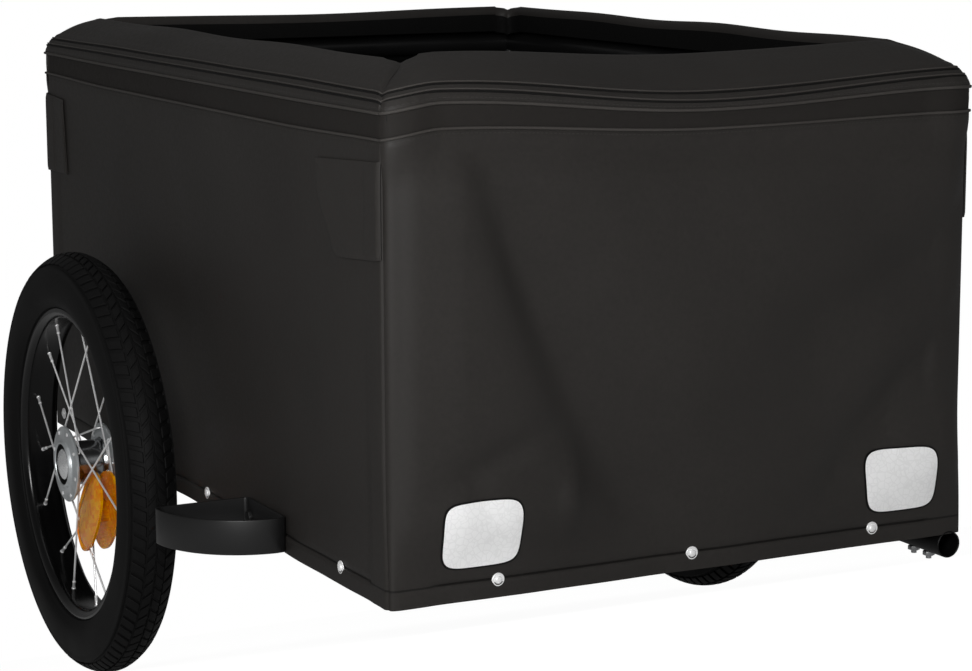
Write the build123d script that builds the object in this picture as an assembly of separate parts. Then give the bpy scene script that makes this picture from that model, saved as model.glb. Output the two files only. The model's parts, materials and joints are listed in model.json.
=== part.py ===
from build123d import *
import os
from math import asin, atan2, cos, degrees, hypot, radians, sin, sqrt

# Two-wheeled bicycle cargo trailer: an open fabric box over a frame of steel tube, on two spoked
# wheels. It is drawn level, with +X to the trailer's left, +Y to its rear and +Z up, and the origin on
# the axle line, midway between the wheels. At the end it is tipped onto its nose, as it parks with no
# drawbar fitted, and moved so that the origin is the middle of the bounding box's bottom face.
# All lengths are in millimetres.

# Load box
box_width = 580.0            # over the side panels
box_front = 590.0            # axle to the front panel's outer face
box_rear = 290.0             # axle to the rear panel's outer face
hem_drop = 17.0              # axle down to the panels' bottom hem
panel_height = 424.0         # hem up to the box's outer top edge
cloth = 2.0                  # coated fabric with its stiffener
fit_gap = 0.3                # between fabric and what it rests on

# Rim pads: the padded band that leans inwards all round the mouth
rim_rise = 26.0              # outer top edge up to the lip
rim_inset_side = 42.0        # how far the lip stands in from the side panels
rim_inset_end = 64.0         # the same at the front and rear
rim_face = 5.5               # upright outer face, below the slope
lip_round = 9.0              # radius between the slope and the lip's inner face

# Frame tube
tube_d = 25.0
tube_wall = 1.5
weld_gap = 0.1               # between coped tubes
rail_drop = 2.0              # bottom rails' centre line below the axle
crossbar_front = 190.0       # front panel back to the first crossbar
crossbar_middle = 130.0      # axle forward to the second
crossbar_rear = 200.0        # rear panel forward to the third

# Drawbar receiver under the left bottom rail
receiver_bore = 22.0
receiver_wall = 1.5
receiver_length = 170.0
receiver_nose = 2.0          # its mouth ahead of the front panel
clamp_bolt_y = (30.0, 53.0)  # from the mouth to each clamp bolt
clamp_bolt_d = 6.0
clamp_bolt_back = 0.6        # screwed back below the bore's wall
clamp_nut_af = 10.0
clamp_nut_height = 4.0
clamp_bolt_tail = 3.0        # bolt below its nut

# Wheel guards: a flat bar bent into a closed loop ahead of each wheel
guard_height = 32.0
guard_lift = 3.0             # guard's middle above the rail's
guard_bar = 3.0
guard_reach = 94.0           # outwards from the side panel
guard_length = 93.0          # along the side panel
guard_gap = 71.5             # tyre's front to the guard's rear leg
guard_bulge = 1.02           # the curve's middle, as a share of a true quarter ellipse
guard_bolts = (13.0, 76.0)   # from the rear leg forward to each bolt
guard_bolt_d = 6.0
guard_bolt_af = 10.0
guard_bolt_head = 4.0

# Wheels
wheel_gap = 37.0             # side panel to tyre
tyre_width = 52.0
tyre_height = 59.5           # bead seat to tread
belly_share = 0.52           # where the tyre is widest, as a share of its height
tread_width = 35.0           # between its shoulders
shoulder_drop = 7.5          # tread's crown down to its shoulders
seat_radius = 152.5          # bead seat
flange_rise = 4.5            # rim's flanges above the bead seat
rim_width = 38.0
rim_lip = 2.5                # thickness of the rim's flanges
rim_well = 2.5               # straight side below the bead seat
rim_depth = 5.5              # bead seat in to the rim's bed
rim_bed_width = 32.0
rim_bed_round = 1.0
hub_flange_d = 76.0
hub_flange = 3.0
flange_offset = 19.5         # wheel's middle plane to a flange's middle
hub_barrel_d = 27.0
barrel_flare = 4.0           # length over which the barrel widens to each flange
flare_inner_d = 36.0
flare_outer_d = 48.0
hub_neck_d = 24.0            # inboard end face
hub_shoulder_d = 32.0        # where that end meets its flange
hub_end = 25.0               # middle plane to the hub's end faces
recess_d = 41.0              # round the axle cap
recess_depth = 5.0
recess_wall = 2.0            # at the outboard end face
recess_foot = 4.0            # where the recess's wall meets its flange
spokes_per_flange = 8
spoke_d = 2.0
spoke_gap = 0.1              # between a spoke and its flange
spoke_edge = 5.0             # spoke holes in from the flange's edge
spoke_lead = 90.0            # degrees that a spoke sweeps between hub and rim
spoke_turn = 16.6            # first hole of the outer flange, in degrees from +Y towards +Z
nipple_d = 4.4
nipple_length = 10.0
nipple_seat = 0.7            # nipple's end short of the rim's curved bed
spoke_rim_x = 2.5            # spoke ends either side of the middle plane

# Amber reflector between the two sets of spokes, lying along the rim
reflector_radius = 56.0      # axle to its middle
reflector_angle = 230.0      # its middle, in degrees from +Y towards +Z
reflector_twist = -21.5      # from lying square to the line through its middle
reflector_length = 94.0
reflector_width = 56.0
reflector_corner = 24.0
reflector_gap = 0.4          # to the spokes

# Axles: a bolt through each bottom rail, with a sleeve and a lock nut inside the hub
axle_d = 12.0
axle_clearance = 0.05        # radial, in the hub
axle_inboard = 14.0          # past the rail's inner side
axle_nut_af = 19.0
axle_nut_height = 9.0
axle_cap_d = 31.0
axle_cap_height = 7.0
axle_cap_round = 2.5
sleeve_d = 19.0
running_gap = 0.5            # axial, at each end of the hub

# Trim
rivet_d = 12.0
rivet_head_d = 7.0
rivet_washer = 1.0
rivet_head = 1.8
rivet_end_inset = 100.0      # side panels in to the outer rivets of the front and rear
rivet_front_inset = 98.0     # front panel back to the first rivet of each side
rivet_ahead = 178.0          # axle forward to the second
rivet_rear_inset = 34.0      # rear panel forward to the third
patch_width = 72.0
patch_height = 57.0
patch_edge = {"left": 33.5, "right": 47.0}   # box edge to patch
patch_above_hem = 29.0
patch_t = 0.8
patch_corner = 9.0
flap_height = 80.0           # at the box's corner
flap_drop = 8.0              # the far end's top and bottom below the corner's
flap_chamfer = (37.0, 51.0)  # cut off the front flap's lower far corner, along and up
flap_front = 137.0           # flaps' lengths along the side panels
flap_rear = 69.0
flap_lean = 5.0              # the rear flap's free end, out of square
flap_below_edge = 53.0       # from the box's outer top edge
flap_t = 1.2
flap_round = 12.0

# Places worked out from the sizes above
half_width = box_width / 2
tube_r = tube_d / 2
rail_x = half_width - cloth - fit_gap - tube_r
front_rail_y = -(box_front - cloth - fit_gap - tube_r)
rear_rail_y = box_rear - cloth - fit_gap - tube_r
rail_z = -rail_drop
hem_z = -hem_drop
edge_z = hem_z + panel_height
pad_bottom = edge_z - rim_face
panel_top = pad_bottom - fit_gap
top_rail_z = pad_bottom - fit_gap - tube_r
lip_z = edge_z + rim_rise
rail_outer_x = half_width - cloth - fit_gap
floor_z = rail_z + tube_r + fit_gap
receiver_d = receiver_bore + 2 * receiver_wall
receiver_z = rail_z - tube_r - receiver_d / 2
receiver_mouth_y = -(box_front + receiver_nose)
receiver_under = receiver_z - receiver_d / 2
clamp_bolt_end = receiver_under - clamp_nut_height - clamp_bolt_tail
crossbar_y = (crossbar_front - box_front, -crossbar_middle, box_rear - crossbar_rear)
wheel_x = half_width + wheel_gap + tyre_width / 2
tyre_radius = seat_radius + tyre_height
rim_flange = seat_radius + flange_rise
rim_bed = seat_radius - rim_depth
guard_back = tyre_radius + guard_gap
guard_bolt_y = [-guard_back - forward for forward in guard_bolts]
spoke_circle = hub_flange_d / 2 - spoke_edge
rivet_end_x = (rivet_end_inset - half_width, 0, half_width - rivet_end_inset)
rivet_side_y = (rivet_front_inset - box_front, -rivet_ahead, box_rear - rivet_rear_inset)
flap_low = edge_z - flap_below_edge - flap_height


def touching_angle(y, z):
    """How far the box tips forwards about the axle before this point meets the ground."""
    return degrees(asin(tyre_radius / hypot(y, z)) - atan2(-z, -y))


park_angle = min(touching_angle(receiver_mouth_y, receiver_under), touching_angle(-box_front, hem_z),
                 touching_angle(receiver_mouth_y + clamp_bolt_y[0] - clamp_bolt_d / 2, clamp_bolt_end))

parts = {}
SIDES = {"left": 1, "right": -1}


def rod(start, end, radius):
    """A round bar between two points."""
    run = Vector(*end) - Vector(*start)
    bar = Cylinder(radius, run.length, align=(Align.CENTER, Align.CENTER, Align.MIN))
    return Plane(origin=start, z_dir=run) * bar


def tube(start, end):
    """A length of frame tube between two points."""
    return rod(start, end, tube_r) - rod(start, end, tube_r - tube_wall)


def slab(low, high):
    """A block between two opposite corners."""
    size = [b - a for a, b in zip(low, high)]
    middle = [(a + b) / 2 for a, b in zip(low, high)]
    return Pos(*middle) * Box(*size)


def mirrored(shape, side):
    """A shape made for the left side, as it is on the given side."""
    return shape if side > 0 else mirror(shape, about=Plane.YZ)


def joined(*shapes):
    """Separate or touching solids as one shape."""
    return Compound([solid for shape in shapes for solid in shape.solids()])


# Bottom frame: two long rails, with cross tubes coped between them
def bottom_frame():
    for name, side in SIDES.items():
        y0, y1 = front_rail_y - tube_r, rear_rail_y + tube_r
        rail = tube((side * rail_x, y0, rail_z), (side * rail_x, y1, rail_z))
        rail -= rod((side * (rail_x - tube_d), 0, 0), (side * (rail_x + tube_d), 0, 0), axle_d / 2)
        parts[f"bottom_rail_{name}"] = rail
    for name, y in (("bottom_rail_front", front_rail_y), ("bottom_rail_rear", rear_rail_y)):
        parts[name] = cross_tube(y, rail_z)
    for name, y in zip(("front", "middle", "rear"), crossbar_y):
        parts[f"floor_crossbar_{name}"] = cross_tube(y, rail_z)


def cross_tube(y, z):
    """A tube across the frame, coped onto the two long tubes at its ends."""
    bar = tube((-rail_x, y, z), (rail_x, y, z))
    for side in SIDES.values():
        y0, y1 = front_rail_y - tube_d, rear_rail_y + tube_d
        bar -= rod((side * rail_x, y0, z), (side * rail_x, y1, z), tube_r + weld_gap)
    return bar.solids().sort_by(SortBy.VOLUME)[-1]


# Corner posts stand on the bottom rails and carry the top rails
def upper_frame():
    y0, y1 = front_rail_y - tube_r, rear_rail_y + tube_r
    for end, y in (("front", front_rail_y), ("rear", rear_rail_y)):
        for name, side in SIDES.items():
            x = side * rail_x
            post = tube((x, y, rail_z), (x, y, top_rail_z))
            for z in (rail_z, top_rail_z):
                post -= rod((x, y0 - tube_d, z), (x, y1 + tube_d, z), tube_r + weld_gap)
                post -= rod((-rail_x, y, z), (rail_x, y, z), tube_r + weld_gap)
            parts[f"corner_post_{end}_{name}"] = post.solids().sort_by(SortBy.VOLUME)[-1]
        parts[f"top_rail_{end}"] = cross_tube(y, top_rail_z)
    for name, side in SIDES.items():
        x = side * rail_x
        parts[f"top_rail_{name}"] = tube((x, y0, top_rail_z), (x, y1, top_rail_z))


# Fabric floor and walls
def fabric_box():
    inside_x = half_width - cloth
    floor_x = rail_outer_x
    floor = slab((-floor_x, -(box_front - cloth - fit_gap), floor_z),
                 (floor_x, box_rear - cloth - fit_gap, floor_z + cloth))
    notch = tube_r + fit_gap
    for y in (front_rail_y, rear_rail_y):
        for side in SIDES.values():
            x = side * rail_x
            floor -= rod((x, y, floor_z - cloth), (x, y, floor_z + 2 * cloth), notch)
    parts["floor_cloth"] = floor.solids().sort_by(SortBy.VOLUME)[-1]
    front = slab((-inside_x, -box_front, hem_z), (inside_x, cloth - box_front, panel_top))
    parts["panel_front"] = front - rod((rail_x, receiver_mouth_y, receiver_z),
                                       (rail_x, -box_front + 2 * cloth, receiver_z), receiver_d / 2 + fit_gap)
    parts["panel_rear"] = slab((-inside_x, box_rear - cloth, hem_z), (inside_x, box_rear, panel_top))
    for name, side in SIDES.items():
        panel = slab((inside_x, -box_front, hem_z), (half_width, box_rear, panel_top))
        panel -= rod((inside_x - cloth, 0, 0), (half_width + cloth, 0, 0), sleeve_d / 2 + fit_gap)
        for y in guard_bolt_y:
            panel -= rod((inside_x - cloth, y, rail_z), (half_width + cloth, y, rail_z),
                         guard_bolt_d / 2 + weld_gap)
        parts[f"panel_{name}"] = mirrored(panel, side)


def rim_profile(inset):
    """The rim pad's section: how far in from the wall, and its height."""
    shoulder = (inset - lip_round, lip_z)
    lip_inside = (inset, lip_z - lip_round)
    turn = lip_round * (1 - sin(radians(45)))
    return [Line((0, pad_bottom), (0, edge_z)), Line((0, edge_z), shoulder),
            ThreePointArc(shoulder, (inset - turn, lip_z - turn), lip_inside),
            Line(lip_inside, (inset, pad_bottom)), Line((inset, pad_bottom), (0, pad_bottom))]


def mitred(bar, *corners):
    """A straight length of rim pad, cut to its place between the mouth's corners."""
    plan = Pos(0, 0, pad_bottom - 1) * Polygon(*corners, align=None)
    return bar & extrude(plan, amount=rim_face + rim_rise + 2, dir=(0, 0, 1))


# Rim pads, mitred at the corners of the mouth
def rim_pads():
    mouth_x = half_width - rim_inset_side
    corner = {"front": (-box_front, -box_front + rim_inset_end),
              "rear": (box_rear, box_rear - rim_inset_end)}
    for end, (outer_y, inner_y) in corner.items():
        away = 1 if inner_y > outer_y else -1
        section = make_face(rim_profile(rim_inset_end))
        plane = Plane(origin=(-half_width, outer_y, 0), x_dir=(0, away, 0), z_dir=(away, 0, 0))
        bar = extrude(plane * section, amount=away * box_width)
        parts[f"rim_pad_{end}"] = mitred(bar, (-half_width, outer_y), (half_width, outer_y),
                                         (mouth_x, inner_y), (-mouth_x, inner_y))
    for name, side in SIDES.items():
        section = make_face(rim_profile(rim_inset_side))
        plane = Plane(origin=(half_width, box_rear, 0), x_dir=(-1, 0, 0), z_dir=(0, 1, 0))
        bar = extrude(plane * section, amount=-(box_front + box_rear))
        pad = mitred(bar, (half_width, -box_front), (half_width, box_rear),
                     (mouth_x, corner["rear"][1]), (mouth_x, corner["front"][1]))
        parts[f"rim_pad_{name}"] = mirrored(pad, side)


# Drawbar receiver with its two clamp bolts
def receiver():
    x, y, z = rail_x, receiver_mouth_y, receiver_z
    end = y + receiver_length
    body = rod((x, y, z), (x, end, z), receiver_d / 2)
    body -= rod((x, y - 1, z), (x, end + 1, z), receiver_bore / 2)
    for name, offset in zip(("front", "rear"), clamp_bolt_y):
        body -= rod((x, y + offset, z), (x, y + offset, receiver_under - 1), clamp_bolt_d / 2 + weld_gap)
        nut = Pos(x, y + offset, receiver_under - clamp_nut_height) * hexagon(clamp_nut_af, clamp_nut_height)
        top = z - receiver_bore / 2 - clamp_bolt_back
        shank = rod((x, y + offset, clamp_bolt_end), (x, y + offset, top), clamp_bolt_d / 2)
        parts[f"clamp_bolt_{name}"] = nut + shank
    parts["drawbar_receiver"] = body


def hexagon(across_flats, height):
    """A hexagonal nut blank standing on the XY plane."""
    outline = RegularPolygon(across_flats / 2, 6, major_radius=False, rotation=30)
    return extrude(outline, amount=height)


# Wheel guards, bolted through the side panels to the bottom rails
def wheel_guards():
    inner = half_width + fit_gap
    a, b, c = (inner, -guard_back), (inner + guard_reach, -guard_back), (inner, -guard_back - guard_length)
    share = guard_bulge * sin(radians(45))
    mid = (inner + guard_reach * share, -guard_back - guard_length * share)
    loop = make_face([Line(c, a), Line(a, b), ThreePointArc(b, mid, c)])
    band = loop - offset(loop, amount=-guard_bar)
    low = rail_z + guard_lift - guard_height / 2
    for name, side in SIDES.items():
        bar = Pos(0, 0, low) * extrude(band, amount=guard_height)
        bolts = []
        for y in guard_bolt_y:
            seat = (inner + guard_bar, y, rail_z)
            bar -= rod((inner - 1, y, rail_z), (inner + guard_bar + 1, y, rail_z), guard_bolt_d / 2)
            head = Plane(origin=seat, z_dir=(1, 0, 0)) * hexagon(guard_bolt_af, guard_bolt_head)
            shank = rod((rail_outer_x + fit_gap, y, rail_z), seat, guard_bolt_d / 2 - weld_gap)
            bolts.append(head + shank)
        parts[f"wheel_guard_{name}"] = mirrored(bar, side)
        parts[f"guard_bolts_{name}"] = mirrored(joined(*bolts), side)


# Axles, with a domed cap in the hub's recess, a lock nut, a sleeve and a nut inside the rail
def axles():
    hub_out = wheel_x + hub_end - recess_depth
    hub_in = wheel_x - hub_end
    for name, side in SIDES.items():
        rail_in = rail_x - tube_r
        shaft = rod((rail_in - axle_inboard, 0, 0), (hub_out + running_gap, 0, 0), axle_d / 2)
        cap_x = hub_out + running_gap
        cap = Plane(origin=(cap_x, 0, 0), z_dir=(1, 0, 0)) * Cylinder(
            axle_cap_d / 2, axle_cap_height, align=(Align.CENTER, Align.CENTER, Align.MIN))
        cap = chamfer(cap.edges().group_by(Axis.X)[-1], axle_cap_round)
        parts[f"axle_{name}"] = mirrored(shaft + cap, side)
        hole = rod((0, 0, 0), (wheel_x, 0, 0), axle_d / 2 + axle_clearance)
        lock_x = hub_in - running_gap - axle_nut_height
        lock = Plane(origin=(lock_x, 0, 0), z_dir=(1, 0, 0)) * hexagon(axle_nut_af, axle_nut_height)
        parts[f"axle_lock_nut_{name}"] = mirrored(lock - hole, side)
        sleeve = rod((rail_outer_x - tube_r, 0, 0), (lock_x, 0, 0), sleeve_d / 2) - hole
        sleeve -= rod((rail_x, -tube_d, rail_z), (rail_x, tube_d, rail_z), tube_r)
        parts[f"axle_sleeve_{name}"] = mirrored(sleeve.solids().sort_by(SortBy.VOLUME)[-1], side)
        nut_x = rail_in - axle_nut_height
        nut = Plane(origin=(nut_x, 0, 0), z_dir=(1, 0, 0)) * hexagon(axle_nut_af, axle_nut_height)
        parts[f"axle_end_nut_{name}"] = mirrored(nut - hole, side)


# Wheels, each drawn about its own middle plane for the left side
def wheel_section(*curves):
    """A ring from its section, given as distance along the axle and radius."""
    face = Plane.XY * make_face(list(curves))
    return revolve(face, axis=Axis.X)


def polyline_section(*points):
    return revolve(make_face(Polyline(*points, close=True)), axis=Axis.X)


def tyre():
    bead = rim_width / 2 - rim_lip
    top = rim_flange + weld_gap
    belly = (tyre_width / 2, seat_radius + belly_share * tyre_height)
    shoulder = (tread_width / 2, tyre_radius - shoulder_drop)
    side = Spline((bead, top), belly, shoulder, (0, tyre_radius), tangents=((0.4, 1), (-1, 0)))
    return wheel_section(side, mirror(side, about=Plane.YZ), Line((bead, top), (bead, seat_radius)),
                         Line((-bead, top), (-bead, seat_radius)),
                         Line((-bead, seat_radius), (bead, seat_radius)))


def rim():
    outer, seat, bed = rim_width / 2, seat_radius - weld_gap, rim_bed_width / 2
    bead = outer - rim_lip + weld_gap
    half = [(bead, seat), (bead, rim_flange), (outer, rim_flange), (outer, seat - rim_well),
            (bed, rim_bed + rim_bed_round), (bed - rim_bed_round, rim_bed)]
    return polyline_section(*half, *[(-x, y) for x, y in reversed(half)])


def hub():
    f0, f1 = flange_offset - hub_flange / 2, flange_offset + hub_flange / 2
    flange, barrel, bore = hub_flange_d / 2, hub_barrel_d / 2, axle_d / 2 + axle_clearance
    recess, floor = recess_d / 2, hub_end - recess_depth
    inboard = [(-hub_end, bore), (-hub_end, hub_neck_d / 2), (-f1, hub_shoulder_d / 2), (-f1, flange),
               (-f0, flange), (-f0, flare_inner_d / 2), (-f0 + barrel_flare, barrel)]
    outboard = [(f0 - barrel_flare, barrel), (f0, flare_outer_d / 2), (f0, flange), (f1, flange),
                (f1, recess + recess_foot), (hub_end, recess + recess_wall), (hub_end, recess),
                (floor, recess), (floor, bore)]
    return polyline_section(*inboard, *outboard)


def spoke_share(radius):
    """How far along its run, from 0 to 1, a spoke passes this distance from the axle."""
    lead, end = radians(spoke_lead), rim_bed - nipple_seat
    across = spoke_circle * (end * cos(lead) - spoke_circle)
    run = spoke_circle ** 2 + end ** 2 - 2 * spoke_circle * end * cos(lead)
    return (sqrt(across ** 2 + run * (radius ** 2 - spoke_circle ** 2)) - across) / run


def spokes():
    """Half the spokes lie over their flange's outer face and bend at its edge; the rest leave its inner
    face straight for the rim."""
    rods = []
    step = 360 / spokes_per_flange
    clear = hub_flange / 2 + spoke_d / 2 + spoke_gap
    over_edge = spoke_share(hub_flange_d / 2)
    for flange in (1, -1):
        for i in range(spokes_per_flange):
            lead = -1 if i % 2 else 1
            start = radians(spoke_turn + i * step + (0 if flange > 0 else step / 2))
            end = start + lead * radians(spoke_lead)
            head = Vector(flange * (flange_offset + lead * clear),
                          spoke_circle * cos(start), spoke_circle * sin(start))
            tip = Vector(flange * spoke_rim_x,
                         (rim_bed - nipple_seat) * cos(end), (rim_bed - nipple_seat) * sin(end))
            bend = head
            spoke = []
            if lead > 0:
                bend = head + (tip - head) * over_edge
                bend.X = head.X
                spoke.append(rod(tuple(head), tuple(bend), spoke_d / 2))
            spoke.append(rod(tuple(bend), tuple(tip), spoke_d / 2))
            neck = tip - (tip - bend).normalized() * nipple_length
            spoke.append(rod(tuple(neck), tuple(tip), nipple_d / 2))
            rods.append(Part() + spoke)
    return joined(*rods)


def spoke_reflector():
    """A rounded block, wedge shaped so that it fits between the two sets of spokes."""
    twist, corner = radians(reflector_twist), reflector_corner
    half = ((reflector_length / 2 - corner) * abs(sin(twist)) + (reflector_width / 2 - corner) * cos(twist) + corner)
    low, high = reflector_radius - half, reflector_radius + half
    outline = RectangleRounded(reflector_length, reflector_width, reflector_corner)
    block = extrude(Plane(origin=(0, 0, reflector_radius), x_dir=(0, cos(twist), sin(twist)), z_dir=(1, 0, 0)) * outline,
                    amount=flange_offset, both=True)
    thin, thick = (between_spokes(hypot(height, reflector_length / 2)) for height in (high, low))
    wedge = make_face(Polyline((-thick, low), (thick, low), (thin, high), (-thin, high), close=True))
    block &= extrude(Plane.XZ * wedge, amount=reflector_length, both=True)
    return Rot(X=reflector_angle - 90) * block


def between_spokes(radius):
    """How far from the wheel's middle plane a block may reach, this distance from the axle."""
    start = flange_offset - hub_flange / 2 - spoke_d - spoke_gap
    end = spoke_rim_x - spoke_d / 2
    return start + (end - start) * spoke_share(radius) - reflector_gap


def wheels():
    for name, side in SIDES.items():
        for piece, shape in (("tyre", tyre()), ("rim", rim()), ("hub", hub()), ("spokes", spokes()),
                             ("spoke_reflector", spoke_reflector())):
            parts[f"{piece}_{name}"] = mirrored(Pos(wheel_x, 0, 0) * shape, side)


# Rivets, reflective patches and corner flaps on the fabric
def rivet(point, outwards):
    washer = Cylinder(rivet_d / 2, rivet_washer, align=(Align.CENTER, Align.CENTER, Align.MIN))
    head = Pos(0, 0, rivet_washer) * Cylinder(rivet_head_d / 2, rivet_head,
                                              align=(Align.CENTER, Align.CENTER, Align.MIN))
    return Plane(origin=point, z_dir=outwards) * (washer + head)


def rivets():
    for name, y, out in (("front", -box_front, -1), ("rear", box_rear, 1)):
        row = [rivet((x, y, rail_z), (0, out, 0)) for x in rivet_end_x]
        parts[f"rivets_{name}"] = joined(*row)
    for name, side in SIDES.items():
        row = [rivet((side * half_width, y, rail_z), (side, 0, 0)) for y in rivet_side_y]
        parts[f"rivets_{name}"] = joined(*row)


def patches():
    for name, side in SIDES.items():
        x = side * (half_width - patch_edge[name] - patch_width / 2)
        outline = RectangleRounded(patch_width, patch_height, patch_corner)
        plane = Plane(origin=(x, -box_front, hem_z + patch_above_hem + patch_height / 2), x_dir=(1, 0, 0),
                      z_dir=(0, -1, 0))
        parts[f"reflective_patch_{name}"] = extrude(plane * outline, amount=patch_t)


def flaps():
    for end, y, length in (("front", -box_front, flap_front), ("rear", box_rear, flap_rear)):
        into = 1 if end == "front" else -1
        top = flap_height - flap_drop
        if end == "front":
            cut, up = flap_chamfer
            outline = Polygon((0, 0), (length - cut, -flap_drop), (length, up - flap_drop), (length, top),
                              (0, flap_height), align=None)
            outline = fillet([v for v in outline.vertices() if v.X > 1 and v.Y < top - 1], flap_round)
        else:
            outline = Polygon((0, -flap_drop), (length, -flap_drop), (length - flap_lean, top),
                              (0, flap_height - flap_drop / 2), align=None)
        plane = Plane(origin=(half_width, y, flap_low), x_dir=(0, into, 0), z_dir=(into, 0, 0))
        flap = extrude(plane * outline, amount=into * flap_t)
        for name, side in SIDES.items():
            parts[f"corner_flap_{end}_{name}"] = mirrored(flap, side)


def main():
    bottom_frame()
    upper_frame()
    fabric_box()
    rim_pads()
    receiver()
    wheel_guards()
    axles()
    wheels()
    rivets()
    patches()
    flaps()
    tipped = {name: Rot(X=park_angle) * shape for name, shape in parts.items()}
    box = Compound([solid for shape in tipped.values() for solid in shape.solids()]).bounding_box()
    shift = Pos(-(box.min.X + box.max.X) / 2, -(box.min.Y + box.max.Y) / 2, tyre_radius)
    print("park angle", round(park_angle, 3), "axle at y", round(shift.position.Y, 3), "size", box.size)
    os.makedirs("parts", exist_ok=True)
    for name, shape in tipped.items():
        export_step(shift * shape, f"parts/{name}.step")


main()
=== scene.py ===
# A two-wheeled bicycle cargo trailer: the finish of its cloth, frame, wheels and fittings, on the packed
# frame. The level frame used here has its origin on the axle line, +X to the trailer's left, +Y to its
# rear and +Z up; LEVEL tips it onto its nose, as the trailer parks.
import json
from math import atan2, cos, exp, hypot, pi, radians, sin

import bpy
from mathutils import Matrix, Vector


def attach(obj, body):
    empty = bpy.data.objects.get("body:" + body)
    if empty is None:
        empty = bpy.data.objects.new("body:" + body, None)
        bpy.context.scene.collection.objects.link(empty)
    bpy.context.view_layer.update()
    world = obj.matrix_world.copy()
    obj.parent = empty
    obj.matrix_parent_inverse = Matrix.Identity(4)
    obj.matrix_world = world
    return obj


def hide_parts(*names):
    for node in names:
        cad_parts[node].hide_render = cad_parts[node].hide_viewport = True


MM = 0.001
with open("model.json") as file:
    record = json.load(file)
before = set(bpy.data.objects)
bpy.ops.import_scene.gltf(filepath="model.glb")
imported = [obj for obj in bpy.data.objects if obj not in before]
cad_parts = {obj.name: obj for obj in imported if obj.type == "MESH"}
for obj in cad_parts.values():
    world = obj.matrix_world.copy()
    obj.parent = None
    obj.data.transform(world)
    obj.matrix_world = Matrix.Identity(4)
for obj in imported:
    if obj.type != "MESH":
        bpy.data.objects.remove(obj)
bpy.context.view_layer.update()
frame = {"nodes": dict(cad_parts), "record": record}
record = frame["record"]

# ---- the level frame and its places
socket = next(m for m in record["mounts"] if m["name"] == "drawbar_socket")
hinge = next(j for j in record["behaviour"]["joints"] if j["name"] == "wheel_left_spin")
TILT = atan2(-socket["axis"][2], -socket["axis"][1])
LEVEL = Matrix.Translation((0, *hinge["pos_m"][1:])) @ Matrix.Rotation(TILT, 4, "X")
UNLEVEL = LEVEL.inverted()


def level_box(node):
    """A node's lowest and highest corners in the level frame."""
    points = [UNLEVEL @ v.co for v in frame["nodes"][node].data.vertices]
    return (Vector([min(p[i] for p in points) for i in range(3)]),
            Vector([max(p[i] for p in points) for i in range(3)]))


front_low, front_high = level_box("panel_front")
side_low, side_high = level_box("panel_left")
end_pad_low, end_pad_high = level_box("rim_pad_front")
side_pad_low, side_pad_high = level_box("rim_pad_left")
HALF = side_high.x  # middle to the side panels' outer faces
FRONT, REAR = side_low.y, side_high.y
HEM, CLOTH_TOP = front_low.z, front_high.z
INSET_END = end_pad_high.y - end_pad_low.y
INSET_SIDE = side_pad_high.x - side_pad_low.x
WHEEL_X = abs(hinge["pos_m"][0])  # middle to a wheel's middle plane
SIDES = {"left": 1, "right": -1}


def lerp(a, b, t):
    return a + (b - a) * t


def ease(t):
    t = min(max(t, 0.0), 1.0)
    return t * t * (3 - 2 * t)


def bell(x, width):
    return exp(-(x / width) ** 2)


# ---- materials
def blank(name):
    material = bpy.data.materials.new(name)
    material.use_nodes = True
    tree = material.node_tree
    return material, tree, tree.nodes["Principled BSDF"]


def put(tree, kind, **settings):
    """A node with its settings; those whose names start with in_ are the values of its inputs."""
    node = tree.nodes.new(kind)
    for key, value in settings.items():
        if key.startswith("in_"):
            slot = key[3:]
            node.inputs[int(slot) if slot.isdigit() else slot.replace("_", " ")].default_value = value
        else:
            setattr(node, key, value)
    return node


def join(tree, out, into):
    tree.links.new(out, into)


def calc(tree, operation, a, b=None):
    node = put(tree, "ShaderNodeMath", operation=operation)
    for index, value in enumerate((a, b)):
        if isinstance(value, (int, float)):
            node.inputs[index].default_value = value
        elif value is not None:
            join(tree, value, node.inputs[index])
    return node.outputs[0]


def coordinates(tree, use="Object"):
    return put(tree, "ShaderNodeTexCoord").outputs[use]


def noise(tree, where, scale, detail):
    node = put(tree, "ShaderNodeTexNoise", in_Scale=scale, in_Detail=detail, in_Roughness=0.55)
    join(tree, where, node.inputs["Vector"])
    return node.outputs[0]


def spread(tree, value, low, high, start=0.0, end=1.0):
    node = put(tree, "ShaderNodeMapRange", in_From_Min=start, in_From_Max=end, in_To_Min=low, in_To_Max=high)
    join(tree, value, node.inputs["Value"])
    return node.outputs[0]


def blend(tree, factor, dark, light):
    node = put(tree, "ShaderNodeMix", data_type="RGBA")
    join(tree, factor, node.inputs[0])
    for index, colour in ((6, dark), (7, light)):
        if isinstance(colour, tuple):
            node.inputs[index].default_value = (*colour, 1)
        else:
            join(tree, colour, node.inputs[index])
    return node.outputs[2]


def bump(tree, shader, height, distance, strength):
    node = put(tree, "ShaderNodeBump", in_Strength=strength, in_Distance=distance)
    join(tree, height, node.inputs["Height"])
    join(tree, node.outputs[0], shader.inputs["Normal"])


def finish(shader, **values):
    for key, value in values.items():
        shader.inputs[key.replace("_", " ")].default_value = value


def ripple(tree, value, pitch):
    return calc(tree, "SINE", calc(tree, "MULTIPLY", value, 2 * pi / pitch))


def within(tree, value, at, reach):
    """1 where a value is less than this far from a place."""
    return calc(tree, "LESS_THAN", calc(tree, "ABSOLUTE", calc(tree, "SUBTRACT", value, at)), reach)


def tones(tree, shader, value, margin, dark, light, rough):
    """A colour and a roughness that wander between two ends as a value does."""
    join(tree, blend(tree, spread(tree, value, 0.0, 1.0, margin, 1 - margin), dark, light), shader.inputs["Base Color"])
    join(tree, spread(tree, value, *rough, 0.3, 0.7), shader.inputs["Roughness"])


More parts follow.
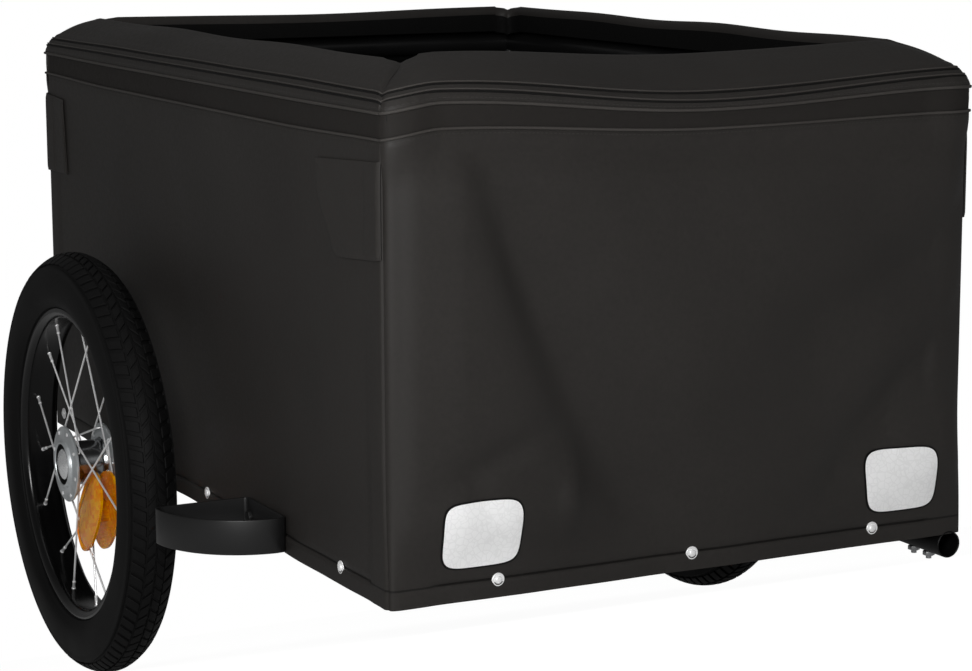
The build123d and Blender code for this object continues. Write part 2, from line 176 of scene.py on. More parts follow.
STITCH, STITCH_WIDTH, SEAM_WIDTH = 4.2 * MM, 0.45 * MM, 0.9 * MM
# THREAD is the stitches' own colour; the near-black colour beside it is painted shade for the grooves of seams.
THREAD, SEAM_SHADE = (0.031, 0.0285, 0.0265), (0.004, 0.0036, 0.0033)


def woven_cloth(name, dark, light, rows=(), seams=(), pitch=0.9 * MM, rough=(0.5, 0.6), gloss=0.2):
    """Coated plain-weave polyester on a UV map in metres, with stitch rows, and painted shade along the grooves of
    seams, at given heights.
    """
    material, tree, shader = blank(name)
    split = put(tree, "ShaderNodeSeparateXYZ")
    join(tree, coordinates(tree, "UV"), split.inputs[0])
    u, v = split.outputs[0], split.outputs[1]
    weave = calc(tree, "MULTIPLY", ripple(tree, u, pitch), ripple(tree, v, pitch))
    where = coordinates(tree)
    cloud = noise(tree, where, 5.0, 4.0)
    grain = noise(tree, where, 240.0, 2.0)
    mix = put(tree, "ShaderNodeMix", data_type="RGBA", blend_type="MULTIPLY", in_0=0.35)
    join(tree, blend(tree, spread(tree, cloud, 0.0, 1.0, 0.3, 0.7), dark, light), mix.inputs[6])
    join(tree, grain, mix.inputs[7])
    colour = mix.outputs[2]
    height = calc(tree, "ADD", calc(tree, "MULTIPLY", weave, 0.25), calc(tree, "MULTIPLY", grain, 0.5))
    for at in rows:
        sewn = calc(tree, "MULTIPLY", within(tree, v, at, STITCH_WIDTH),
                    calc(tree, "GREATER_THAN", ripple(tree, u, STITCH), -0.35))
        colour = blend(tree, sewn, colour, THREAD)
        height = calc(tree, "ADD", height, calc(tree, "MULTIPLY", sewn, 4.0))
    # Painted shade: each seam gets a near-black line down its groove, as well as a dent in the bump.
    for at in seams:
        seam_shade = within(tree, v, at, SEAM_WIDTH)
        colour = blend(tree, calc(tree, "MULTIPLY", seam_shade, 0.75), colour, SEAM_SHADE)
        height = calc(tree, "SUBTRACT", height, calc(tree, "MULTIPLY", seam_shade, 5.0))
    join(tree, colour, shader.inputs["Base Color"])
    join(tree, spread(tree, grain, *rough, 0.3, 0.7), shader.inputs["Roughness"])
    bump(tree, shader, height, 0.05 * MM, 0.6)
    finish(shader, Specular_IOR_Level=gloss)
    return material


def moulded(name, dark, light, rough, grain_scale, depth=0.05, **values):
    """An even finish with a fine grain and a slow change of tone, such as powder coat, rubber or enamel."""
    material, tree, shader = blank(name)
    where = coordinates(tree)
    tones(tree, shader, noise(tree, where, 9.0, 4.0), 0.32, dark, light, rough)
    bump(tree, shader, noise(tree, where, grain_scale, 2.0), depth * MM, 0.5)
    finish(shader, **values)
    return material


def turned_metal(name, dark, light, rough, metallic=1.0):
    """Bright metal, finely turned about the axle line, with small stains."""
    material, tree, shader = blank(name)
    where = coordinates(tree)
    tones(tree, shader, noise(tree, where, 60.0, 4.0), 0.35, dark, light, rough)
    stretch = put(tree, "ShaderNodeMapping", in_Scale=(1.0, 0.05, 0.05))
    join(tree, where, stretch.inputs["Vector"])
    bump(tree, shader, noise(tree, stretch.outputs[0], 900.0, 2.0), 0.02 * MM, 0.4)
    finish(shader, Metallic=metallic)
    return material


# Heights on the cloth as it is cut, above the hem: a row of stitches, the two pipings, the pad's two seams
HEM_ROW, LOW_PIPE, HIGH_PIPE, LOW_SEAM, HIGH_SEAM = 0.0150, 0.3880, 0.4095, 0.4190, 0.4255
# The cover's seam just above the hem's stitches carries that painted shade.
cover = woven_cloth("cover_cloth", (0.0245, 0.0223, 0.0206), (0.0305, 0.0278, 0.0256),
                    (LOW_PIPE - 0.004, HIGH_PIPE + 0.0045, HIGH_SEAM + 0.0035), (HEM_ROW + 0.0012,))
flap_cloth = woven_cloth("flap_cloth", (0.0275, 0.0252, 0.0232), (0.0335, 0.0306, 0.0283), (0.0035,))
lining = woven_cloth("black_lining", (0.0024, 0.0024, 0.0024), (0.0036, 0.0035, 0.0034), rough=(0.7, 0.85), gloss=0.12)
band_tape = woven_cloth("band_tape", (0.0215, 0.0195, 0.018), (0.0255, 0.0232, 0.0214), pitch=2.2 * MM,
                        rough=(0.6, 0.75), gloss=0.1)
binding = moulded("cover_binding", (0.043, 0.0395, 0.0365), (0.054, 0.05, 0.0465), (0.5, 0.6), 500.0,
                  Specular_IOR_Level=0.15)
# Near-black: the patches' own black binding, and painted shade in the rim pads' seam creases and in each hub's end
# recess.
dark_binding = moulded("dark_binding", (0.004, 0.004, 0.004), (0.007, 0.0067, 0.0064), (0.6, 0.75), 500.0,
                       Specular_IOR_Level=0.12)
powder = moulded("frame_powder_coat", (0.006, 0.006, 0.0061), (0.009, 0.009, 0.0092), (0.32, 0.42), 420.0,
                 Specular_IOR_Level=0.38)
socket_powder = moulded("socket_powder_coat", (0.002, 0.002, 0.002), (0.0035, 0.0035, 0.0036), (0.45, 0.55), 420.0,
                        Specular_IOR_Level=0.15)
rubber = moulded("tyre_rubber", (0.0036, 0.0036, 0.0037), (0.0056, 0.0055, 0.0055), (0.55, 0.7), 350.0,
                 Specular_IOR_Level=0.1)
enamel = moulded("rim_enamel", (0.0012, 0.0012, 0.0013), (0.002, 0.002, 0.0021), (0.16, 0.26), 200.0, 0.01,
                 Specular_IOR_Level=0.3)
alloy = turned_metal("hub_alloy", (0.46, 0.485, 0.495), (0.60, 0.625, 0.635), (0.32, 0.44), 0.7)
barrel_metal = turned_metal("hub_barrel", (0.26, 0.27, 0.28), (0.42, 0.43, 0.44), (0.1, 0.2))
zinc = turned_metal("zinc_plate", (0.66, 0.675, 0.685), (0.85, 0.86, 0.865), (0.2, 0.32), 0.75)
bolt_metal = turned_metal("bolt_zinc", (0.28, 0.285, 0.29), (0.42, 0.425, 0.43), (0.25, 0.35), 0.9)
chrome = turned_metal("spoke_chrome", (0.82, 0.82, 0.82), (0.92, 0.92, 0.92), (0.3, 0.42), 0.45)
rivet_metal = turned_metal("rivet_nickel", (0.93, 0.93, 0.93), (0.98, 0.98, 0.98), (0.3, 0.4), 0.25)


def reflective_tape():
    """White glass-bead tape with a sealed honeycomb."""
    material, tree, shader = blank("reflective_tape")
    where = coordinates(tree, "UV")
    cells = put(tree, "ShaderNodeTexVoronoi", feature="DISTANCE_TO_EDGE", in_Scale=190.0)
    join(tree, where, cells.inputs["Vector"])
    wall = calc(tree, "LESS_THAN", cells.outputs["Distance"], 0.07)
    slow = noise(tree, where, 40.0, 3.0)
    base = blend(tree, spread(tree, slow, 0.0, 1.0, 0.3, 0.7), (0.94, 0.94, 0.94), (0.97, 0.97, 0.97))
    colour = blend(tree, calc(tree, "MULTIPLY", wall, 0.12), base, (0.45, 0.45, 0.45))
    join(tree, colour, shader.inputs["Base Color"])
    join(tree, spread(tree, slow, 0.4, 0.55, 0.3, 0.7), shader.inputs["Roughness"])
    bump(tree, shader, calc(tree, "MULTIPLY", wall, -1.0), 0.06 * MM, 0.5)
    finish(shader, Specular_IOR_Level=0.4)
    return material


def amber_lens():
    """Clear amber moulding over rows of small prisms."""
    material, tree, shader = blank("amber_lens")
    where = coordinates(tree)
    prisms = put(tree, "ShaderNodeTexVoronoi", distance="MANHATTAN", in_Scale=260.0, in_Randomness=0.12)
    join(tree, where, prisms.inputs["Vector"])
    facet = put(tree, "ShaderNodeSeparateColor")
    join(tree, prisms.outputs["Color"], facet.inputs[0])
    slow = noise(tree, where, 45.0, 2.0)
    mixed = calc(tree, "ADD", calc(tree, "MULTIPLY", facet.outputs[0], 0.45), calc(tree, "MULTIPLY", slow, 0.6))
    join(tree, blend(tree, spread(tree, mixed, 0.0, 1.0, 0.25, 0.85), (0.9, 0.25, 0.0), (1.0, 0.56, 0.0)),
         shader.inputs["Base Color"])
    bump(tree, shader, prisms.outputs["Distance"], 0.3 * MM, 0.35)
    finish(shader, Roughness=0.16, IOR=1.3, Transmission_Weight=0.3, Coat_Weight=0.35, Coat_Roughness=0.04)
    return material


tape_white = reflective_tape()
amber = amber_lens()


# ---- making pieces by hand
def drop_selection():
    if bpy.context.mode != "OBJECT":
        bpy.ops.object.mode_set(mode="OBJECT")
    bpy.ops.object.select_all(action="DESELECT")


def only(piece):
    drop_selection()
    piece.select_set(True)
    bpy.context.view_layer.objects.active = piece


def made(name):
    piece = bpy.context.view_layer.objects.active
    piece.name = name
    piece.data.name = name
    return piece


def edit(piece, kind="FACE"):
    """Opens a piece for edit, with faces, edges or vertices to be selected; done closes it."""
    only(piece)
    bpy.ops.object.mode_set(mode="EDIT")
    bpy.ops.mesh.select_mode(type=kind)


def done():
    bpy.ops.object.mode_set(mode="OBJECT")


def take_all():
    bpy.ops.mesh.select_all(action="SELECT")


def set_down():
    """Writes an object's own place, turn and size into its mesh."""
    bpy.ops.object.transform_apply(location=True, rotation=True, scale=True)


def pick(piece, wanted):
    """Selects the faces that a test accepts; it leaves the piece in edit mode."""
    edit(piece)
    bpy.ops.mesh.select_all(action="DESELECT")
    done()
    for face in piece.data.polygons:
        face.select = wanted(face)
    bpy.ops.object.mode_set(mode="EDIT")


def use_modifier(piece, kind, **settings):
    """Adds a modifier and applies it."""
    only(piece)
    modifier = piece.modifiers.new(kind.title(), kind)
    for key, value in settings.items():
        setattr(modifier, key, value)
    bpy.ops.object.modifier_apply(modifier=modifier.name)


def soften(piece, angle):
    only(piece)
    bpy.ops.object.shade_smooth_by_angle(angle=radians(angle))


def round_edges(piece, width, segments, angle):
    use_modifier(piece, "BEVEL", width=width, segments=segments, limit_method="ANGLE",
                 angle_limit=radians(angle), harden_normals=False)


def outwards(piece):
    edit(piece)
    take_all()
    bpy.ops.mesh.remove_doubles(threshold=1e-6)
    bpy.ops.mesh.normals_make_consistent(inside=False)
    done()


def draw_line(name, points, closed=False):
    """One point drawn out along a path of straight runs."""
    drop_selection()
    bpy.ops.mesh.primitive_plane_add(size=0.01)
    piece = made(name)
    edit(piece, "VERT")
    take_all()
    bpy.ops.mesh.merge(type="CENTER")
    bpy.ops.transform.translate(value=points[0])
    here = Vector(points[0])
    for point in points[1:]:
        bpy.ops.mesh.extrude_vertices_move(TRANSFORM_OT_translate={"value": Vector(point) - here})
        here = Vector(point)
    if closed:
        take_all()
        bpy.ops.mesh.edge_face_add()
        bpy.ops.mesh.delete(type="ONLY_FACE")
    done()
    return piece


def turn(name, profile, steps, axis="X", closed=False):
    """A turned piece: its section, as distances along the axis and radii in mm, spun about the axis."""
    if axis == "X":
        points = [(a * MM, 0.0, r * MM) for a, r in profile]
    else:
        points = [(0.0, a * MM, r * MM) for a, r in profile]
    if closed:
        points.append(points[0])
    piece = draw_line(name, points)
    edit(piece, "VERT")
    take_all()
    bpy.ops.mesh.spin(steps=steps, angle=2 * pi, center=(0, 0, 0), axis=(1, 0, 0) if axis == "X" else (0, 1, 0))
    done()
    outwards(piece)
    return piece


def around_axle(piece, count):
    """Repeats a piece evenly round the axle line."""
    edit(piece)
    take_all()
    bpy.ops.mesh.spin(steps=count - 1, dupli=True, angle=2 * pi * (count - 1) / count,
                      center=(0, 0, 0), axis=(1, 0, 0))
    done()


def shift(x=0.0, y=0.0, z=0.0):
    return Matrix.Translation((x, y, z))


def turned(degrees, axis):
    return Matrix.Rotation(radians(degrees), 4, axis)


def flipped(sign):
    """Changes left for right where the sign is -1."""
    return Matrix.Diagonal((sign, 1, 1, 1))


def facing_along(direction):
    """A turn that takes +X to a direction."""
    return Vector((1, 0, 0)).rotation_difference(direction).to_matrix().to_4x4()


def copy_of(piece, name):
    only(piece)
    bpy.ops.object.duplicate()
    return made(name)


def merge(name, *pieces):
    drop_selection()
    for piece in pieces:
        piece.select_set(True)
    bpy.context.view_layer.objects.active = pieces[0]
    bpy.ops.object.join()
    return made(name)


def place(piece, matrix):
    """Moves a piece within its own mesh; a mirrored one is turned right side out again."""
    only(piece)
    set_down()
    piece.data.transform(matrix)
    if matrix.determinant() < 0:
        edit(piece)
        take_all()
        bpy.ops.mesh.flip_normals()
        done()


def settle(piece, finishes, stands_for=(), body="chassis"):
    """Puts a finished piece where the parked trailer has it, riding on its body."""
    place(piece, LEVEL)
    if not piece.data.materials:
        for material in finishes:
            piece.data.materials.append(material)
    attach(piece, body)
    if stands_for:
        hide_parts(*stands_for)
    return piece


def on_both_wheels(piece, title, finishes, stands_for, body="wheel"):
    """A piece made about the middle of a wheel, outboard along +X, copied to the two sides."""
    for side, sign in SIDES.items():
        twin = copy_of(piece, f"{title}_{side}")
        place(twin, shift(sign * WHEEL_X) @ flipped(sign))
        settle(twin, finishes, [f"{stands_for}_{side}"], body if body == "chassis" else f"{body}_{side}")
    bpy.data.objects.remove(piece)


def wire(name, path, radius, closed=False):
    """A round wire or cord along a path of points, from a bevelled curve made a mesh."""
    drop_selection()
    bpy.ops.curve.primitive_nurbs_path_add()
    curve = bpy.context.view_layer.objects.active
    curve.data.splines.clear()
    line = curve.data.splines.new("POLY")
    line.points.add(len(path) - 1)
    for spot, point in zip(path, line.points):
        point.co = (*spot, 1)
    line.use_cyclic_u = closed
    curve.data.bevel_depth = radius
    curve.data.bevel_resolution = 2
    curve.data.use_fill_caps = not closed
    only(curve)
    bpy.ops.object.convert(target="MESH")
    piece = made(name)
    outwards(piece)
    soften(piece, 80)
    return piece


# ---- the box's outline
# Wall 0 is the front, 1 the left, 2 the rear and 3 the right. Wall k runs from corner k to corner k + 1,
# anticlockwise from above, and the end walls' cloth goes round the posts to a seam on the side.
FRONT_WALL, LEFT_WALL, REAR_WALL, RIGHT_WALL = range(4)
WALLS = {"front": FRONT_WALL, "left": LEFT_WALL, "rear": REAR_WALL, "right": RIGHT_WALL}
END_WALLS = (FRONT_WALL, REAR_WALL)
CORNERS = ((-1, -1), (1, -1), (1, 1), (-1, 1))
POST_WRAP_X, POST_WRAP_Y = 29 * MM, 12 * MM  # how far along each wall its cloth turns round a post
SIDE_SEAM = 0.66  # how far round a corner the cloth's seam is
POST_SLACK = -0.8  # mm that folds may sink over a post; below 0 the cloth stands out
RAIL_END = 4.2  # mm that the cloth stands out over the ends of the side rails
HEM_TO_FULL = 0.13  # the corners are sharp at the hem and full this far above it


def corner_spot(corner, q, inset, soft):
    """A place round a corner: q is -1 where the wall before ends and 1 where the next one begins.

    The inset goes from 0 at the box's outer face to 1 at the rim pads' inner edge.
    """
    sx, sy = CORNERS[corner]
    angle = (q + 1) * pi / 4
    power = 0.3 + 0.7 * soft
    first = max(cos(angle), 0.0) ** power
    last = max(sin(angle), 0.0) ** power
    along_x, along_y = (first, last) if corner in (0, 2) else (last, first)
    wide = POST_WRAP_X * (1 - 0.35 * inset)
    deep = POST_WRAP_Y * (1 + 0.7 * inset)
    x = sx * (HALF - inset * INSET_SIDE - wide * (1 - along_x))
    end = FRONT if sy < 0 else REAR
    y = end - sy * (inset * INSET_END + deep * (1 - along_y))
    return Vector((x, y, 0))


def seam_turn(corner, inset, mitre):
    """Where a wall's cloth is sewn to the next one's: near the side, or at a mitre for the rim pads."""
    at = SIDE_SEAM * (1 - ease(inset * 1.3)) if mitre else SIDE_SEAM
    return -at if corner in (0, 2) else at


def outline(wall, zone, r, inset, soft, mitre=False):
    """A place on the box's outline. Zone -1 and 1 are a wall's two corners and 0 is its straight run."""
    a, b = wall, (wall + 1) % 4
    if zone < 0:
        return corner_spot(a, lerp(seam_turn(a, inset, mitre), 1, r), inset, soft)
    if zone > 0:
        return corner_spot(b, lerp(-1, seam_turn(b, inset, mitre), r), inset, soft)
    return corner_spot(a, 1, inset, soft).lerp(corner_spot(b, -1, inset, soft), r)


def full(wall, zone, r):
    """A place on the outer outline where its corners are full."""
    return outline(wall, zone, r, 0.0, 1.0)


def stations(wall, run_steps=(110, 150), corner_steps=9):
    """Places along an end or a side wall, closer together round its corners."""
    run_steps = run_steps[0] if wall in END_WALLS else run_steps[1]
    row = [(-1, k / corner_steps) for k in range(corner_steps)]
    row += [(0, k / run_steps) for k in range(run_steps)]
    row += [(1, k / corner_steps) for k in range(corner_steps + 1)]
    return row


def round_box():
    return [(wall, zone, r) for wall in range(4) for zone, r in stations(wall)[:-1]]


def facing(wall, zone, r, inset, soft):
    """The direction straight out of a wall."""
    run = (outline(wall, zone, min(r + 0.01, 1.0), inset, soft)
           - outline(wall, zone, max(r - 0.01, 0.0), inset, soft))
    return Vector((run.y, -run.x, 0)).normalized()


# Heights above the hem, in mm, of the two pipings, the pad's two seams and its lip: at each corner, on the
# front beside the right corner, in its sagging middle and beside the left one, and half way along the others
LINES = ("low_pipe", "high_pipe", "low_seam", "high_seam", "lip")
AT_CORNER, FRONT_RIGHT, FRONT_MIDDLE, FRONT_LEFT, SIDE_MIDDLE, REAR_MIDDLE = (
    dict(zip(LINES, heights)) for heights in (
        (388, 409.5, 418.5, 425, 449), (396, 417, 426, 432, 454), (384.5, 400.5, 407, 414.5, 444.5),
        (388, 410, 419.5, 425.5, 450), (385, 408.5, 419, 426, 449), (385, 404, 413, 419, 446)))


def height_of(line, wall, spot):
    """How high one of those lines runs at a place on a wall."""
    corner = AT_CORNER[line]
    if wall == FRONT_WALL:
        x = spot.x / MM
        middle = cos(pi / 2 * min(abs(x - 20) / 270, 1)) ** 2
        beside = FRONT_RIGHT[line] if x < 20 else FRONT_LEFT[line]
        high = lerp(beside, FRONT_MIDDLE[line], middle)
        to_corner = max(0.0, 1 - (spot.x + HALF) / (48 * MM)) ** 1.6 if x < 0 else ease((x - 262) / 28)
        high = lerp(high, corner, to_corner)
    elif wall == REAR_WALL:
        middle = cos(pi / 2 * min(abs(spot.x) / (HALF - 15 * MM), 1)) ** 2
        high = lerp(corner, REAR_MIDDLE[line], middle)
    else:
        share = (spot.y - FRONT) / (REAR - FRONT)
        high = lerp(corner, SIDE_MIDDLE[line], ease(sin(pi * min(max(share, 0), 1)) * 1.4))
        if line == "lip":
            high += 1.2 * sin(share * 17 + wall) * sin(pi * share)
    return HEM + high * MM


def fold(s, depth, near, far):
    """A valley in the cloth, steep before its line and gentle past it, in mm."""
    return -depth * bell(s, near if s < 0 else far)


def front_swell(x, z):
    """How far the front cloth stands out, in mm, at a place x and a height z above the hem."""
    start = ease((z - 26) / 50)
    right_run = x - (-24 - 0.6 * z + 0.00033 * z * z)
    left_run = (x - (140 + 0.32 * (z - 34) + 0.0038 * (z - 34) ** 2)) / hypot(1, 0.32 + 0.0076 * max(z - 34, 0))
    upper_run = 0.85 * (z - (210 + 0.25 * (x - 127) + 0.0017 * (x - 127) ** 2))
    width = lerp(36, 20, ease((z - 60) / 320))
    depth = 17.0 * start * (1 - 0.8 * ease((z - 260) / 140))
    out = fold(right_run, depth, width, 85)  # the long fold from the hem to the upper right
    out += fold(left_run, 10.0, 22, 60) * start * (1 - ease((z - 235) / 70))
    out += fold(-upper_run, 7.5, 24, 50) * ease((x - 60) / 80) * (1 - ease((z - 335) / 40))
    upright = start * (1 - ease((z - 335) / 50))  # the fullness at each side and in the middle
    right_side = min(max((x + 285) / 60, 0), 1) ** 0.8 * (1 - ease((x + 150) / 200))
    out += 9.0 * right_side * start * (1 - ease((z - 340) / 50))
    out += 7.0 * ease((x - 90) / 180) * upright
    out += 8.0 * bell(x - 30 - 0.12 * (z - 180), 130 if x < 30 else 110) * upright
    # a short ridge and three dents low down
    out += 4.5 * bell(x + 124 - 0.08 * (z - 75), 11) * bell(z - 75, 36) * start
    out -= 4.6 * bell(z - 125 - 0.35 * (x + 177), 10) * bell(x + 188, 42)
    out -= 2.2 * bell(x + 212 + 0.5 * (z - 95), 13) * bell(z - 95, 26)
    out -= 2.0 * bell(x - 205 - 0.3 * (z - 110), 16) * bell(z - 120, 46) * start
    return out


def side_swell(y, z, sign):
    """The same for a side panel, with y from the axle."""
    whole = ease(z / 60) * (1 - ease((z - 320) / 60))
    out = -2.6 * sin(pi * (y + 590) / 880) * whole
    out += 1.8 * bell(z - 250 - 0.18 * (y + 300) * sign, 45) * bell(y + 260, 190) * whole
    out -= 1.6 * bell(y + 130 - 0.35 * (z - 180), 34) * whole
    out += 1.3 * bell(y - 120 + 0.5 * (z - 200), 48) * whole
    out -= 1.5 * bell(y + 420 - 0.4 * (z - 120), 40) * bell(z - 150, 90)
    return out


def rear_swell(x, z):
    """The same for the rear panel, which has two slanting folds."""
    whole = ease(z / 60) * (1 - ease((z - 330) / 60))
    out = fold(-x - (30 + 0.5 * z), 4.0, 24, 70) + fold(x - (40 + 0.45 * z), 3.6, 26, 70)
    return out * ease(z / 60) * (1 - ease((z - 320) / 60)) + 4.0 * bell(x, 170) * whole


rivet_low, rivet_high = level_box("rivets_right")
RIVET_Z = (rivet_low.z + rivet_high.z) / 2
RIVET_R = (rivet_high.z - rivet_low.z) / 2


def rivet_places(title, wall):
    """How far along a wall each of its rivets is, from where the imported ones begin."""
    across, places = 0 if wall in END_WALLS else 1, []
    for value in sorted((UNLEVEL @ v.co)[across] for v in frame["nodes"][f"rivets_{title}"].data.vertices):
        if not places or value - places[-1] > 3 * RIVET_R:
            places.append(value + RIVET_R)
    return places


RIVETS = {wall: rivet_places(title, wall) for title, wall in WALLS.items()}


def swell(wall, spot, height):
    """How far a wall's cloth stands out of the plain wall, at a place and a height above the hem."""
    x, y, z = spot.x / MM, spot.y / MM, height / MM
    if wall == FRONT_WALL:
        out, along = front_swell(x, z), x
    elif wall == REAR_WALL:
        out, along = rear_swell(x, z), x
    else:
        out, along = side_swell(y, z, 1 if wall == LEFT_WALL else -1), y
    tight = min(1 - bell(along - at / MM, 22) * bell(z - (RIVET_Z - HEM) / MM, 26) for at in RIVETS[wall])
    out *= tight
    waves = 0.9 * sin(along / 31 + wall) + 0.6 * sin(along / 17 + 2 * wall)
    out += waves * bell(z - 8, 26) * tight * 0.8
    out += 0.5 * sin(along / 47 + z / 61 + wall) * ease(z / 80)
    out += 1.2 * (1 - ease((z - HEM_ROW / MM + 1.0) / 2))
    out -= 1.3 * bell(z - HEM_ROW / MM - 1.2, 1.5)
    return out


def cloth_spot(wall, zone, r, z, out=0.0):
    """A place on the finished cloth of a wall, at height z in the level frame."""
    soft = ease((z - HEM) / HEM_TO_FULL)
    base = outline(wall, zone, r, 0.0, soft)
    normal = facing(wall, zone, r, 0.0, soft)
    low, high = height_of("low_pipe", wall, base), height_of("high_pipe", wall, base)
    at_corner = 1.0
    if zone:
        at_corner = ease(r if zone < 0 else 1 - r)
    offset = swell(wall, base, z - HEM) * at_corner
    to_corner = HALF - abs(base.x) if wall in END_WALLS else min(base.y - FRONT, REAR - base.y)
    offset = max(offset, -lerp(POST_SLACK, 20, ease((to_corner - 32 * MM) / (40 * MM))))
    offset *= 1 - ease((z - low + 35 * MM) / (35 * MM))
    to_seam = (base - outline(wall, zone, 0.0 if zone < 0 else 1.0, 0.0, soft)).length / MM if zone else 99.0
    offset -= 1.8 * bell(to_seam, 2.2)
    if low < z < high:
        offset -= 1.5 * ease(min(z - low, high - z) / (1.5 * MM))
    elif z >= high:
        offset += 0.9 * sin(pi * min((z - high) / (9 * MM), 1))
    if wall in END_WALLS:
        lift = RAIL_END * (1 - ease((to_corner - 20 * MM) / (35 * MM))) * ease((z - low + 40 * MM) / (36 * MM))
        offset += lift * (1 - 0.7 * ease((z - high) / (9 * MM)))
    point = base + normal * (offset * MM + out)
    point.z = z
    return point


# ---- cloth
def lay_grid(name, points, across, up, finishes, closed_round=False):
    """A mesh over rows of points, with a UV map in metres."""
    rows, columns = len(points), len(points[0])
    mesh = bpy.data.meshes.new(name)
    faces = []
    for j in range(rows if closed_round else rows - 1):
        low, high = j * columns, (j + 1) % rows * columns
        faces += [(low + i, low + i + 1, high + i + 1, high + i) for i in range(columns - 1)]
    mesh.from_pydata([tuple(p) for row in points for p in row], [], faces)
    layer = mesh.uv_layers.new(name="cloth")
    spots = [(across[i], up[j]) for j in range(rows) for i in range(columns)]
    for loop in mesh.loops:
        layer.data[loop.index].uv = spots[loop.vertex_index]
    for material in finishes:
        mesh.materials.append(material)
    piece = bpy.data.objects.new(name, mesh)
    bpy.context.scene.collection.objects.link(piece)
    return piece


def evenly(total, steps, first=0.0):
    return [first + total * k / steps for k in range(steps + 1)]


def lengths(points):
    """How far along a line each of its points is."""
    total = [0.0]
    for a, b in zip(points, points[1:]):
        total.append(total[-1] + (Vector(b) - Vector(a)).length)
    return total


HEM_ROWS = (0.0, 1.2, 4.0, 8.0, 11.0, 13.0, 14.5, 16.0, 17.5, 19.5, 24.0)


def panel_rows(hem, low_pipe, high_pipe, low_seam):
    """Heights of the rows of a wall's cloth, closest together at the hem's stitches and beside the pipings."""
    rows = [hem + mm * MM for mm in HEM_ROWS]
    rows += [lerp(hem + HEM_ROWS[-1] * MM, low_pipe, k / 44) for k in range(1, 45)]
    rows += [lerp(low_pipe, high_pipe, share) for share in (0.04, 0.08, 0.3, 0.6, 0.9, 0.96, 1.0)]
    return rows + [lerp(high_pipe, low_seam, share) for share in (0.25, 0.5, 0.75, 1.0)]


def rows_at(wall, zone, r):
    base = full(wall, zone, r)
    return panel_rows(HEM, *(height_of(line, wall, base) for line in ("low_pipe", "high_pipe", "low_seam")))


def wall_panels():
    for title, wall in WALLS.items():
        columns = [[cloth_spot(wall, zone, r, z) for z in rows_at(wall, zone, r)] for zone, r in stations(wall)]
        points = list(zip(*columns))
        across = lengths(points[len(points) // 2])
        up = panel_rows(0.0, LOW_PIPE, HIGH_PIPE, LOW_SEAM)
        piece = lay_grid(f"cover_{title}", points, across, up, (cover, lining))
        use_modifier(piece, "SOLIDIFY", thickness=1.2 * MM, offset=-1, material_offset=1, material_offset_rim=0)
        soften(piece, 60)
        settle(piece, (), [f"panel_{title}"])


def ring_at(line, out, radius, name):
    """A cord sewn right round the box along one of its lines."""
    path = [cloth_spot(wall, zone, r, height_of(line, wall, full(wall, zone, r)), out) for wall, zone, r in round_box()]
    return wire(name, path, radius, closed=True)


BAND = 21 * MM  # the tape's height as it is cut


def cover_trim():
    """The two pipings, and the recessed tape between them."""
    for title, line, radius, out in (("low", "low_pipe", 1.3, 0.5), ("high", "high_pipe", 1.5, 0.6)):
        piece = ring_at(line, out * MM, radius * MM, f"piping_{title}")
        settle(piece, (binding,))
    points = []
    shares = (0.06, 0.12, 0.5, 0.88, 0.94)
    ring = round_box()
    for share in shares:
        crown = (0.6 + (0.5 - abs(share - 0.5)) * 0.7) * MM
        line = []
        for wall, zone, r in (*ring, ring[0]):
            base = full(wall, zone, r)
            low, high = height_of("low_pipe", wall, base), height_of("high_pipe", wall, base)
            line.append(cloth_spot(wall, zone, r, lerp(low, high, share), crown))
        points.append(line)
    across = lengths(points[0])
    piece = lay_grid("band_tape", points, across, [share * BAND for share in shares], (band_tape,))
    use_modifier(piece, "SOLIDIFY", thickness=0.4 * MM, offset=0)
    soften(piece, 60)
    settle(piece, ())


def pad_section(wall, base):
    """A rim pad's section at a place on a wall, as inset shares and heights, all the way round it."""
    low, high = height_of("low_seam", wall, base), height_of("high_seam", wall, base)
    lip = height_of("lip", wall, base)
    under = CLOTH_TOP + 1.5 * MM
    outer = [(0.0, low), (0.014, lerp(low, high, 0.2)), (0.03, lerp(low, high, 0.5)),
             (0.055, lerp(low, high, 0.85)), (0.08, high - 0.5 * MM), (0.098, high + 0.5 * MM)]
    slope = []
    for k in range(1, 13):
        t = k / 12
        crown = 2.4 * MM * sin(pi * min(t * 1.05, 1)) + 1.0 * MM * bell(t - 0.06, 0.06)
        slope.append((lerp(0.098, 0.86, t), lerp(high + 0.8 * MM, lip - 0.8 * MM, t ** 0.94) + crown))
    top = [(0.91, lip), (0.955, lip - 1.0 * MM), (0.985, lip - 3 * MM), (1.0, lip - 6 * MM),
           (1.0, lip - 9 * MM), (1.0, lip - 14 * MM), (0.98, under + 1 * MM), (0.9, under)]
    skin = 1.6 * MM
    below = [(0.35, min(under, slope[3][1] - skin)), (slope[1][0], min(under, slope[1][1] - skin)),
             (slope[0][0], min(under, slope[0][1] - skin)), (0.075, min(under, high - skin)),
             (0.045, low + 1.0 * MM), (0.03, low)]
    return outer + slope + top + below


def pad_spot(wall, zone, r, inset, z):
    """A place on a rim pad, which is drawn in at the seams of its mitred corners."""
    spot = outline(wall, zone, r, inset, 1.0, mitre=True)
    base = full(wall, zone, r)
    if zone:
        edge = outline(wall, zone, 0.0 if zone < 0 else 1.0, inset, 1.0, mitre=True)
        gap = (spot - edge).length / MM
        z -= (1.6 * bell(gap, 3.0) + 2.5 * inset * bell(gap, 16)) * MM
        spot += (Vector((0, (FRONT + REAR) / 2, 0)) - spot).normalized() * 1.2 * MM * bell(gap, 2.5)
    along = (base.x if wall in END_WALLS else base.y) / MM
    z += 0.6 * sin(along / 38 + wall * 2) * sin(pi * min(inset, 1)) * MM
    return Vector((spot.x, spot.y, z))


PAD_COVER_ROWS = 22  # rows of a pad's section in the cover's cloth; the rest is lining


